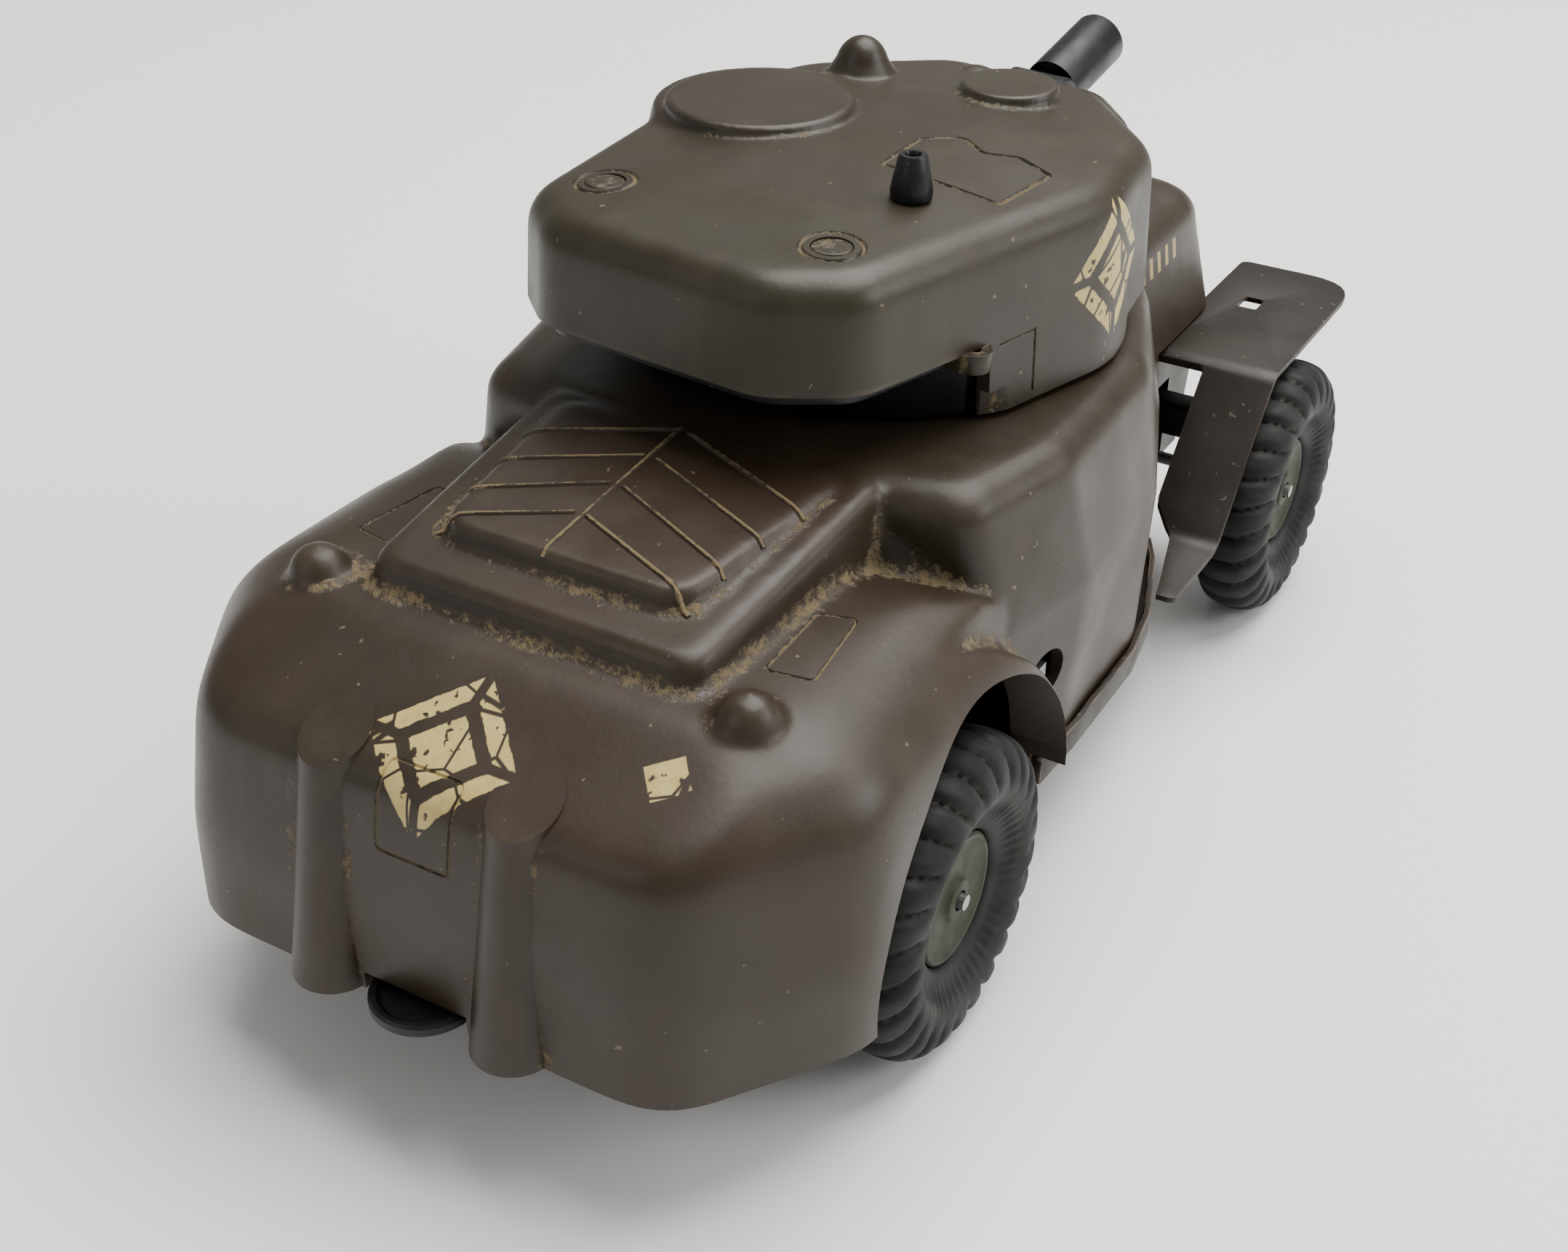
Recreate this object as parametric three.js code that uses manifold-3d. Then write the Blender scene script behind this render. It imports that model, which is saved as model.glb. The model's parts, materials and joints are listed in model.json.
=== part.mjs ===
// Toy armoured car with a turning turret, free-rolling wheels and a clockwork motor.
// Millimetres. +X forward, +Y left, +Z up.
// Inside the group every length is measured from the ground point under the rear axle;
// the group is then shifted so that the origin is under the middle of the whole toy.
import * as THREE from "three";
import { mergeVertices } from "three/addons/utils/BufferGeometryUtils.js";
import Module from "manifold-3d";

const wasm = await Module();
wasm.setup();

// Driving dimensions
const FRONT_X = 136; // front edge of the front fenders
const REAR_X = -45.5; // rear edge of the tow tongue
const CENTRE_X = (FRONT_X + REAR_X) / 2;
const WALL = 1.5; // moulded plastic wall
const SHEET = 0.8; // tin sheet
const GAP = 0.3; // clearance between touching pieces

const HULL_BOTTOM = 16.5;
const DECK_Z = 57.2; // flat deck under the turret
const TAIL_TOP = 49.4;
const ARCH = { x: 2.3, z: 20, r: 23.5, inner: 33 };
const FRONT_WELL = { x: 96, y: 19.4, top: 39.6 };
const WINDING_HOLE = { x: 27.7, z: 30, r: 3.5 };

const WHEELBASE = 106.7;
const AXLE_Z = 18.5;
const TYRE = { r: 18.5, width: 10.1, bore: 7.9, shoulder: 4.5 };
const TRACK_HALF = 37.2;
const AXLE_R = 0.9;

const TURRET = { x: 51.5, bottom: 58, bustle: 66.7, skirt: 31, turn: -5.9 };
const GUN = { u: 39.5, v: 1, z: 73.2, elevation: 16, r: 3.75, length: 17 };
const PIVOT_R = 4;

const CORNER_STEPS = 4;
const EDGE_STEPS = 3;

// ---------------------------------------------------------------- helpers

function solid(geometry) {
  const bare = geometry.clone();
  for (const name of Object.keys(bare.attributes)) {
    if (name !== "position") {
      bare.deleteAttribute(name);
    }
  }
  const merged = mergeVertices(bare, 1e-4);
  const mesh = new wasm.Mesh({
    numProp: 3,
    vertProperties: new Float32Array(merged.attributes.position.array),
    triVerts: new Uint32Array(merged.index.array),
  });
  return new wasm.Manifold(mesh);
}

function geometryOf(body) {
  const mesh = body.getMesh();
  const geometry = new THREE.BufferGeometry();
  geometry.setAttribute(
    "position",
    new THREE.BufferAttribute(new Float32Array(mesh.vertProperties), 3),
  );
  geometry.setIndex(new THREE.BufferAttribute(new Uint32Array(mesh.triVerts), 1));
  geometry.computeVertexNormals();
  return geometry;
}

function join(...bodies) {
  return bodies.reduce((sum, body) => sum.add(body));
}

function box(x0, x1, y0, y1, z0, z1) {
  const geometry = new THREE.BoxGeometry(x1 - x0, y1 - y0, z1 - z0);
  geometry.translate((x0 + x1) / 2, (y0 + y1) / 2, (z0 + z1) / 2);
  return solid(geometry);
}

// Cylinder standing on the XY plane at (x, y), from z0 to z1.
function post(x, y, z0, z1, r, sides = 24, rTop = r) {
  const geometry = new THREE.CylinderGeometry(rTop, r, z1 - z0, sides);
  geometry.rotateX(Math.PI / 2);
  geometry.translate(x, y, (z0 + z1) / 2);
  return solid(geometry);
}

// Cylinder lying along Y through (x, z), from y0 to y1.
function rod(x, z, y0, y1, r, sides = 16) {
  const geometry = new THREE.CylinderGeometry(r, r, y1 - y0, sides);
  geometry.translate(x, (y0 + y1) / 2, z);
  return solid(geometry);
}

function ball(x, y, z, r, squash = 1) {
  const geometry = new THREE.SphereGeometry(r, 12, 8);
  geometry.scale(1, 1, squash);
  geometry.translate(x, y, z);
  return solid(geometry);
}

// A list of [x, y] points extruded upward from z0 to z1.
function slab(points, z0, z1) {
  const shape = new THREE.Shape(points.map(([x, y]) => new THREE.Vector2(x, y)));
  const geometry = new THREE.ExtrudeGeometry(shape, { depth: z1 - z0, bevelEnabled: false });
  geometry.translate(0, 0, z0);
  return solid(geometry);
}

// A list of [x, z] points extruded along Y from y0 to y1.
function sideways(points, y0, y1) {
  const shape = new THREE.Shape(points.map(([x, z]) => new THREE.Vector2(x, z)));
  const geometry = new THREE.ExtrudeGeometry(shape, { depth: y1 - y0, bevelEnabled: false });
  geometry.rotateX(Math.PI / 2);
  geometry.translate(0, y1, 0);
  return solid(geometry);
}

// Both halves of a symmetric outline. Each corner is [x, y, radius], with y above 0,
// listed from the front to the rear.
function bothSides(corners) {
  const right = corners.map(([x, y, r]) => [x, -y, r]).reverse();
  return [...corners, ...right];
}

// Rounds every corner of a closed outline with the same number of points.
function rounded(corners) {
  const points = [];
  const count = corners.length;
  for (let i = 0; i < count; i++) {
    const [x, y, radius] = corners[i];
    const corner = new THREE.Vector2(x, y);
    const before = new THREE.Vector2(...corners[(i + count - 1) % count].slice(0, 2));
    const after = new THREE.Vector2(...corners[(i + 1) % count].slice(0, 2));
    const toBefore = before.clone().sub(corner);
    const toAfter = after.clone().sub(corner);
    const reach = 0.49 * Math.min(toBefore.length(), toAfter.length());
    toBefore.normalize();
    toAfter.normalize();
    const half = Math.acos(THREE.MathUtils.clamp(toBefore.dot(toAfter), -1, 1)) / 2;
    const cut = Math.min(radius / Math.tan(half), reach);
    const start = corner.clone().addScaledVector(toBefore, cut);
    const end = corner.clone().addScaledVector(toAfter, cut);
    const curve = new THREE.QuadraticBezierCurve(start, corner, end);
    points.push(...curve.getPoints(CORNER_STEPS));
  }
  return points;
}

// Moves each point of a closed outline inward by the given distance.
function insetBy(points, distance) {
  const count = points.length;
  return points.map((point, i) => {
    const before = points[(i + count - 1) % count];
    const after = points[(i + 1) % count];
    const along = after.clone().sub(before).normalize();
    return new THREE.Vector2(point.x - along.y * distance, point.y + along.x * distance);
  });
}

// Stacks outlines with equal point counts into one closed body.
function loft(rings) {
  const positions = [];
  const index = [];
  const count = rings[0].points.length;
  for (const ring of rings) {
    for (const point of ring.points) {
      positions.push(point.x, point.y, ring.z);
    }
  }
  for (let level = 0; level < rings.length - 1; level++) {
    for (let i = 0; i < count; i++) {
      const next = (i + 1) % count;
      const a = level * count + i;
      const b = level * count + next;
      index.push(a, b, b + count);
      index.push(a, b + count, a + count);
    }
  }
  const last = (rings.length - 1) * count;
  for (const [a, b, c] of THREE.ShapeUtils.triangulateShape(rings[0].points, [])) {
    index.push(a, c, b);
  }
  for (const [a, b, c] of THREE.ShapeUtils.triangulateShape(rings.at(-1).points, [])) {
    index.push(last + a, last + b, last + c);
  }
  const geometry = new THREE.BufferGeometry();
  geometry.setAttribute("position", new THREE.Float32BufferAttribute(positions, 3));
  geometry.setIndex(index);
  return geometry;
}

function blend(from, to, t) {
  return from.map((corner, i) => corner.map((value, k) => value + (to[i][k] - value) * t));
}

// A moulded block: straight walls through the levels, then a rounded edge up to the crown.
// thin is the wall thickness to take off when the block is the hollow inside.
// raise is a slope added to the height along X.
function moulded({ levels, crown, dome = 0, raise = 0, raiseFrom = 0 }, thin = 0) {
  const ringOf = (corners, z) => ({ points: insetBy(rounded(bothSides(corners)), thin), z });
  const rings = levels.map((level, i) => ringOf(level.corners, level.z - (i === 0 ? thin * 2 : 0)));
  const top = levels.at(-1);
  for (let i = 1; i <= EDGE_STEPS; i++) {
    const angle = (i / EDGE_STEPS) * (Math.PI / 2);
    const corners = blend(top.corners, crown.corners, 1 - Math.cos(angle));
    const rise = (crown.z - thin - top.z) * Math.sin(angle);
    rings.push(ringOf(corners, top.z + rise));
  }
  if (dome > 0) {
    const edge = rings.at(-1);
    for (const scale of [0.75, 0.4]) {
      const points = edge.points.map((point) => point.clone().multiplyScalar(scale));
      rings.push({ points, z: edge.z + dome * (1 - scale * scale) });
    }
  }
  const geometry = loft(rings);
  const position = geometry.attributes.position;
  for (let i = 0; i < position.count; i++) {
    position.setZ(i, position.getZ(i) + raise * (position.getX(i) - raiseFrom));
  }
  return solid(geometry);
}

function lathe(profile, sides) {
  const points = profile.map(([r, h]) => new THREE.Vector2(r, h));
  points.push(points[0].clone());
  return solid(new THREE.LatheGeometry(points, sides));
}

// ---------------------------------------------------------------- hull

const tailShape = {
  levels: [
    { z: HULL_BOTTOM, corners: [[30, 33, 3], [26, 40.2, 3], [-23, 40.9, 10], [-41.2, 28.3, 10]] },
    { z: 27, corners: [[30, 33, 3], [25, 40.9, 4], [-22.5, 41.3, 10], [-40.8, 28.6, 10]] },
    { z: 38, corners: [[28, 33, 3], [20, 40.4, 8], [-20.5, 40.7, 10], [-39.2, 28, 10]] },
  ],
  crown: { z: TAIL_TOP, corners: [[24, 26, 3], [6, 27, 6], [-14, 27, 8], [-27, 20, 8]] },
};

const engineDeckShape = {
  levels: [
    { z: 40, corners: [[15, 22, 2], [-21.8, 20.3, 3.5]] },
    { z: 51.2, corners: [[15, 21.8, 2], [-20.6, 20.1, 3.5]] },
  ],
  crown: { z: 52.6, corners: [[14, 20.3, 2], [-19.2, 18.7, 3]] },
  raise: 0.132,
  raiseFrom: -20.3,
};

const louvreShape = {
  levels: [
    { z: 48, corners: [[13.5, 18.6, 3], [-15.6, 15.6, 5]] },
    { z: 54.8, corners: [[13.2, 18.2, 3], [-14.8, 15, 5]] },
  ],
  crown: { z: 55.8, corners: [[12.4, 17.2, 2.5], [-13.8, 14, 4]] },
  raise: 0.055,
  raiseFrom: -14.8,
};

const sponsonShape = {
  levels: [
    {
      z: HULL_BOTTOM,
      corners: [[92, 21, 5], [80.5, 28, 8], [58, 36, 14], [34, 36.2, 10], [24, 34, 4], [14, 19, 3]],
    },
    {
      z: 40,
      corners: [[92, 21, 6], [81, 28.3, 8], [57, 37.3, 14], [34, 38.4, 10], [17, 35, 5], [9, 19, 3]],
    },
    {
      z: 53.5,
      corners: [[90, 20, 6], [79.5, 26, 8], [58, 35, 14], [32, 36, 8], [15, 32, 5], [12, 18, 3]],
    },
  ],
  crown: {
    z: DECK_Z,
    corners: [[86, 16, 5], [75, 22.6, 7], [57, 31.2, 12], [32, 32, 7], [19, 28.5, 4], [16, 16, 3]],
  },
};

const noseShape = {
  levels: [
    { z: HULL_BOTTOM, corners: [[118, 21.6, 10], [86, 22, 3]] },
    { z: 36, corners: [[123.5, 22.6, 10], [86, 22.8, 3]] },
    { z: 53.5, corners: [[118.5, 19.8, 9], [86, 20.6, 3]] },
  ],
  crown: { z: 57.6, corners: [[113, 15.2, 6], [86, 16.4, 3]] },
};

const hullShapes = [engineDeckShape, louvreShape, sponsonShape, noseShape];

// The tail slopes down behind the engine deck, and its fenders end around the wheel arches.
function tail(thin) {
  const slope = new THREE.BoxGeometry(60, 120, 20);
  slope.translate(-30, 0, 10);
  slope.rotateY(THREE.MathUtils.degToRad(-25.5));
  slope.translate(-23.5, 0, TAIL_TOP - thin);
  let body = moulded(tailShape, thin).subtract(solid(slope));
  const ahead = box(ARCH.x, 60, -60, 60, 0, 70);
  body = body.subtract(ahead.subtract(rod(ARCH.x, ARCH.z, -70, 70, 29.6 - thin, 40)));
  // The outer lip of each fender narrows to a tip in front of the wheel
  for (const side of [-1, 1]) {
    const near = 35 - thin;
    const outer = box(-1.5 - thin, 60, side > 0 ? near : -60, side > 0 ? 60 : -near, 0, 70);
    body = body.subtract(outer.subtract(rod(-1.5, ARCH.z, -70, 70, 27.5 - thin, 40)));
    const underTip = box(18, 60, side > 0 ? 38.5 : -60, side > 0 ? 60 : -38.5, 0, 20.8);
    body = body.subtract(underTip);
  }
  return body;
}

// Two half-round columns on the tail's rear wall, leaning inward as they rise.
function rearColumn(side, thin) {
  const geometry = new THREE.CylinderGeometry(3.6 - thin, 4.6 - thin, 30, 16);
  geometry.rotateX(Math.PI / 2);
  geometry.translate(0, 0, 15);
  geometry.rotateY(THREE.MathUtils.degToRad(8.5));
  geometry.translate(-40.2, 11.3 * side, HULL_BOTTOM - thin * 2);
  return solid(geometry);
}

function hullOutside() {
  let body = tail(0);
  for (const side of [-1, 1]) {
    const column = rearColumn(side, 0);
    const above = box(-60, -20, -60, 60, 42, 90);
    body = body.add(column.subtract(above));
    body = body.add(ball(-20.6, 26 * side, 48.9, 3.3));
  }
  for (const shape of hullShapes) {
    body = body.add(moulded(shape));
  }
  const below = box(-80, 160, -80, 80, 0, HULL_BOTTOM);
  return body.subtract(below).subtract(frontWells(0));
}

function hullInside() {
  let body = tail(WALL);
  for (const shape of hullShapes) {
    body = body.add(moulded(shape, WALL));
  }
  return body.subtract(frontWells(WALL));
}

// The nose is cut back on both sides to make room for the front wheels.
function frontWells(thin) {
  const { x, y, top } = FRONT_WELL;
  const left = box(x - thin, 140, y - thin, 60, 0, top + thin);
  return left.add(left.mirror([0, 1, 0]));
}

function hullShell() {
  let body = hullOutside().subtract(hullInside());
  for (const side of [-1, 1]) {
    const arch = rod(ARCH.x, ARCH.z, 0, 20, ARCH.r, 32).translate(
      0,
      side > 0 ? ARCH.inner : -ARCH.inner - 20,
      0,
    );
    body = body.subtract(arch);
  }
  body = body.subtract(rod(WINDING_HOLE.x, WINDING_HOLE.z, -50, -25, WINDING_HOLE.r, 24));
  body = body.subtract(post(TURRET.x, 0, 50, 60, PIVOT_R + 0.5));
  // Openings for the front axle bracket and for the tow tongue
  body = body.subtract(box(WHEELBASE - 4, WHEELBASE + 4, -40, 40, 0, 29.5));
  body = body.subtract(box(-50, -30, -6.4, 6.4, 0, 18.6));
  // Vision slots in the upper front plate
  body = body.subtract(box(110, 130, -12, -5, 49, 51.5));
  body = body.subtract(box(110, 130, 5, 12, 49, 51.5));
  return body;
}

// ---------------------------------------------------------------- tin base and fenders

// Line of the upturned rim, just outside the hull between the wheels
const rimLine = [
  [83, 28],
  [78.5, 30.4],
  [64, 35.3],
  [55, 36.8],
  [36, 37],
  [27, 36.6],
];

const plateOutline = [
  [112, 18.5],
  [87, 18.8],
  ...rimLine,
  [24.5, 29.5],
  [-21, 29.5],
  [-26, 33],
  [-36.5, 26.5],
  [-38.8, 18],
];

function basePlate() {
  const top = HULL_BOTTOM - GAP;
  const outline = [...plateOutline, ...plateOutline.map(([x, y]) => [x, -y]).reverse()];
  let body = slab(outline, top - SHEET, top);
  for (const side of [-1, 1]) {
    for (let i = 0; i < rimLine.length - 1; i++) {
      const [[x0, y0], [x1, y1]] = [rimLine[i], rimLine[i + 1]];
      const wall = [
        [x0, y0 * side],
        [x1, y1 * side],
        [x1, (y1 + SHEET) * side],
        [x0, (y0 + SHEET) * side],
      ];
      body = body.add(slab(side > 0 ? wall.reverse() : wall, top - SHEET, 18.8));
    }
  }
  // Slot under the drive pinion
  body = body.subtract(box(-6.5, 6.5, -20.5, -10.5, 0, 30));
  return body;
}

const FENDER = { top: 39.2, inner: 20.4, outer: 38.2, bend: 99, foot: 82.5, lip: 20.2, end: 67 };

function frontFender(side) {
  const { top, inner, outer, bend, foot, lip, end } = FENDER;
  const profile = [
    [FRONT_X, top],
    [bend, top],
    [foot, lip],
    [end, lip],
    [end, lip - SHEET],
    [foot + 0.5, lip - SHEET],
    [bend + 0.4, top - SHEET],
    [FRONT_X, top - SHEET],
  ];
  const plan = [
    [end, 35.6],
    [end + 3, 34.9],
    [foot, 31.6],
    [foot + 3, 28.2],
    [bend - 0.5, 28.2],
    [bend - 0.5, inner],
    [FRONT_X - 1.5, inner],
    [FRONT_X, inner + 1.5],
    [FRONT_X, outer - 7],
    [FRONT_X - 1.2, outer - 3.5],
    [FRONT_X - 3.5, outer - 1.2],
    [FRONT_X - 7, outer],
    [foot, outer],
    [end + 2, outer],
    [end, outer - 1.2],
  ];
  let body = sideways(profile, inner - 1, outer + 1);
  body = body.intersect(slab(plan, 0, 60));
  body = body.subtract(box(119, 123, 25.3, 28.3, 30, 50));
  return side > 0 ? body : body.mirror([0, 1, 0]);
}

function towTongue() {
  const points = [[-30, -5.8], [-30, 5.8], [-39.5, 5.8]];
  const disc = new THREE.EllipseCurve(-39.5, 0, 6, 5.8, Math.PI / 2, (3 * Math.PI) / 2);
  for (const point of disc.getPoints(14).slice(1)) {
    points.push([point.x, point.y]);
  }
  return slab(points, 16.7, 18.2);
}

// ---------------------------------------------------------------- wheels and axles

function axle(x) {
  const half = TRACK_HALF + 3.6;
  return rod(x, AXLE_Z, -half, half, AXLE_R);
}

const tyreProfile = [
  [TYRE.bore, -4.2],
  [10, -4.9],
  [14, -5.05],
  [16.9, -4.1],
  [18.2, -2.2],
  [TYRE.r, 0],
  [18.2, 2.2],
  [16.9, 4.1],
  [14, 5.05],
  [10, 4.9],
  [TYRE.bore, 4.2],
];

const hubProfile = [
  [AXLE_R + GAP, -3.6],
  [3.2, -3.6],
  [3.6, 0.4],
  [TYRE.bore - GAP, 1],
  [TYRE.bore - GAP, 2.6],
  [5.8, 2.1],
  [2.4, 2.1],
  [AXLE_R + GAP, 2.9],
];

function wheelPiece(profile, x, side, sides) {
  const turn = side > 0 ? [0, 0, 0] : [180, 0, 0];
  return lathe(profile, sides)
    .rotate(turn)
    .translate([x, TRACK_HALF * side, AXLE_Z]);
}

// Black cross bracket over the front axle, with an ear at each end.
function frontBracket() {
  let body = box(WHEELBASE - 2.5, WHEELBASE + 2.5, -30, 30, 23.6, 28.3);
  for (const side of [-1, 1]) {
    const y = 27 * side;
    body = body.add(box(WHEELBASE - 2.5, WHEELBASE + 2.5, y - 1, y + 1, 15.8, 24));
  }
  return body.subtract(rod(WHEELBASE, AXLE_Z, -40, 40, AXLE_R + GAP));
}

// ---------------------------------------------------------------- clockwork motor

const MOTOR = { left: -7, right: -24, floor: 17, roof: 44.5, back: -8, front: 42 };
const PILLARS = { low: [37, 22], high: [8, 40], top: [34, 40.5] };

function motorPlate(y) {
  const outline = [
    [MOTOR.back, MOTOR.floor],
    [MOTOR.front, MOTOR.floor],
    [MOTOR.front, 40],
    [38, MOTOR.roof],
    [2, MOTOR.roof],
    [MOTOR.back, 30],
  ];
  let body = sideways(outline.reverse(), y - SHEET / 2, y + SHEET / 2);
  body = body.subtract(rod(0, AXLE_Z, -40, 40, AXLE_R + GAP));
  body = body.subtract(rod(WINDING_HOLE.x, WINDING_HOLE.z, -40, 40, 1.5 + GAP));
  for (const [x, z] of Object.values(PILLARS)) {
    body = body.subtract(rod(x, z, -40, 40, 1 + GAP));
  }
  return body;
}

function motorPillar([x, z]) {
  const low = MOTOR.right;
  const high = MOTOR.left;
  const body = rod(x, z, low - 1.2, high + 1.2, 1, 10);
  return body.add(rod(x, z, low + 0.7, high - 0.7, 1.8, 10));
}

// The spring is a flat ribbon wound around the arbor.
function mainspring() {
  const turns = 4;
  const steps = 40;
  const inner = [];
  const outer = [];
  for (let i = 0; i <= steps; i++) {
    const angle = (i / steps) * turns * 2 * Math.PI;
    const r = 3 + (6.5 * i) / steps;
    const point = [WINDING_HOLE.x + r * Math.cos(angle), WINDING_HOLE.z + r * Math.sin(angle)];
    const far = r + 0.6;
    inner.push(point);
    outer.push([
      WINDING_HOLE.x + far * Math.cos(angle),
      WINDING_HOLE.z + far * Math.sin(angle),
    ]);
  }
  return sideways([...outer, ...inner.reverse()], -14.5, -8.5);
}

// Round shaft between the plates, with a square winding end behind the side hole.
function windingArbor() {
  const { x, z } = WINDING_HOLE;
  const shaft = rod(x, z, -27, -5.5, 1.5, 16);
  const square = box(x - 1.2, x + 1.2, -36, -26.5, z - 1.2, z + 1.2);
  return shaft.add(square);
}

function toothedWheel(x, z, y0, y1, r, teeth, bore) {
  const points = [];
  for (let i = 0; i < teeth; i++) {
    for (const [part, height] of [[-0.3, 0], [-0.14, 1], [0.14, 1], [0.3, 0]]) {
      const angle = ((i + part) / teeth) * 2 * Math.PI;
      points.push([x + (r + height) * Math.cos(angle), z + (r + height) * Math.sin(angle)]);
    }
  }
  const body = sideways(points, y0, y1);
  return body.subtract(rod(x, z, y0 - 1, y1 + 1, bore));
}

// ---------------------------------------------------------------- turret (its own frame)

const turretShape = {
  levels: [
    {
      z: TURRET.bottom,
      corners: [[35.5, 11.5, 6], [22, 26.5, 10], [4, 31.2, 18], [-37, 23.6, 8], [-43.6, 15, 8]],
    },
    {
      z: 75.2,
      corners: [[35, 11, 6], [21.5, 25.6, 10], [4, 30.4, 18], [-36.2, 22.8, 8], [-42.6, 14.5, 8]],
    },
  ],
  crown: {
    z: 79.2,
    corners: [[31, 9.5, 5], [19, 22, 9], [3, 26.6, 16], [-33, 19.4, 6], [-38.8, 12.7, 6]],
  },
  dome: 1.4,
};

const cheekShape = {
  levels: [
    { z: 61, corners: [[44, 7.5, 5], [37, 15, 5], [22, 21, 3]] },
    { z: 72.5, corners: [[43.8, 7.5, 5], [36.6, 14.8, 5], [22, 20.8, 3]] },
  ],
  crown: { z: 76, corners: [[40.4, 6, 4], [34.4, 12, 4], [22, 17.4, 3]] },
};

const HATCH = { u: -2, v: 15.6, r: 11.4, top: 81.1 };
const SMALL_HATCH = { u: 22.2, v: -4.6, r: 6.1, top: 80.9 };
const PLUG = { u: -31, v: 15.2, r: 2, bottom: 76.4, top: 79.9 };
const ANTENNA = { u: -15.4, v: -14.7, bottom: 80 };

function turretOutside() {
  let body = moulded(turretShape);
  const underBustle = box(-60, -17, -60, 60, 0, TURRET.bustle);
  const belowFront = box(-60, 60, -60, 60, 0, 61).subtract(post(0, 0, -1, 62, TURRET.skirt, 36));
  body = body.subtract(underBustle).subtract(belowFront);
  body = body.add(moulded(cheekShape));
  // Swelling that carries the big hatch over the left wall
  body = body.add(post(0.5, 16.6, 74, 80.8, 14.4, 28, 12.6));
  body = body.add(post(HATCH.u, HATCH.v, 76, HATCH.top, HATCH.r, 28, HATCH.r - 0.3));
  const small = SMALL_HATCH;
  body = body.add(post(small.u, small.v, 76, small.top, small.r, 20, small.r - 0.3));
  body = body.add(ball(18.2, 14.6, 79.9, 3.5, 1.25));
  body = body.add(ball(29.3, 4.5, 79.2, 1.6));
  // Small drilled lug at the rear end of the right wall
  const lug = box(-21, -17.5, -27.8, -24, 64.6, 66.9);
  return body.add(lug.subtract(post(-19.6, -26.6, 60, 70, 0.6, 10)));
}

function turretShell() {
  const { u, v, z } = GUN;
  let inside = moulded(turretShape, WALL).add(moulded(cheekShape, WALL));
  inside = inside.subtract(box(u - 6.7, 60, v - 7.2, v + 7.2, 66.8, 90));
  let body = turretOutside().subtract(inside);
  body = body.subtract(box(u - 5.2, 60, v - 5.6, v + 5.6, 68.3, 90));
  body = body.subtract(rod(u, z, v - 12, v + 12, 1 + GAP));
  for (const side of [-1, 1]) {
    body = body.subtract(post(PLUG.u, PLUG.v * side, 70, 90, PLUG.r + GAP));
  }
  body = body.subtract(post(ANTENNA.u, ANTENNA.v, 70, 90, 1.2 + GAP, 12));
  return body;
}

// Drum under the turret, with the floor of the rear overhang.
function turretBase() {
  const rear = box(-60, -17.6, -60, 60, 0, 90);
  let body = post(0, 0, 58, 59.8, 27.9, 48);
  const drumWall = post(0, 0, 58, 66.2, 30.2, 48).subtract(post(0, 0, 59, 67, 28.2, 48));
  body = body.add(drumWall.intersect(rear));
  const floor = moulded(turretShape, WALL + 0.4).intersect(box(-60, -17.6, -60, 60, 65, 67.2));
  const recess = post(0, 0, 60, 70, 28.2, 48);
  body = body.add(floor.subtract(recess));
  return body.subtract(post(0, 0, 50, 70, 3, 20));
}

// Hollow stud under the drum that turns in the hull's roof.
function turretPivot() {
  const stud = join(
    post(0, 0, 51.5, 57.7, PIVOT_R, 24),
    post(0, 0, 57.5, 59.2, 2.7, 24),
    post(0, 0, 59, 61.2, 2.7, 24),
  );
  return stud.subtract(post(0, 0, 50, 60, 1.4, 12));
}

function turretRetainer() {
  const ring = post(0, 0, 53.2, 54.6, 9, 24);
  return ring.subtract(post(0, 0, 50, 58, PIVOT_R + GAP, 24));
}

function roofPlug(side) {
  const { u, v, r, bottom, top } = PLUG;
  return post(u, v * side, bottom, top, r, 20);
}

function antennaBase() {
  const { u, v, bottom } = ANTENNA;
  const cone = post(u, v, bottom + 0.9, bottom + 5.2, 2.45, 20, 1.55);
  const spigot = post(u, v, bottom - 3, bottom + 1.2, 1.2, 12);
  return cone.add(spigot).subtract(post(u, v, bottom + 2.5, bottom + 8, 0.7, 10));
}

// ---------------------------------------------------------------- gun (its own frame)

// In the gun's frame the barrel points along +X and the trunnion lies along Y.
function alongX(geometry) {
  geometry.rotateZ(-Math.PI / 2);
  return solid(geometry);
}

function gunBarrel() {
  const { r, length } = GUN;
  const start = 5.1;
  const tube = new THREE.CylinderGeometry(r, r, length - start, 24);
  tube.translate(0, (length + start) / 2, 0);
  const bore = new THREE.CylinderGeometry(2.3, 2.3, 9, 20);
  bore.translate(0, length, 0);
  return alongX(tube).subtract(alongX(bore));
}

function gunMantlet() {
  const drum = rod(0, 0, -5, 5, 4.7, 28);
  return drum.subtract(rod(0, 0, -8, 8, 1 + GAP, 14));
}

function trunnionPin() {
  return rod(0, 0, -8, 8, 1, 14);
}

// ---------------------------------------------------------------- materials

function material(color, roughness, metalness = 0) {
  return new THREE.MeshStandardMaterial({ color, roughness, metalness });
}

const olivePlastic = () => material("#544a40", 0.5);
const maroonTin = () => material("#3f2a24", 0.42, 0.3);
const blackPlastic = () => material("#15171c", 0.4);
const rubber = () => material("#2a2e33", 0.75);
const hubPlastic = () => material("#57584a", 0.6);
const steel = () => material("#8b8d8f", 0.35, 0.9);
const springSteel = () => material("#4b5566", 0.3, 0.9);
const brass = () => material("#a58a4c", 0.35, 0.9);

// ---------------------------------------------------------------- assembly

const toy = new THREE.Group();
toy.position.set(-CENTRE_X, 0, 0);

function place(parent, name, body, look) {
  const mesh = new THREE.Mesh(geometryOf(body), look());
  mesh.name = name;
  parent.add(mesh);
}

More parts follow.
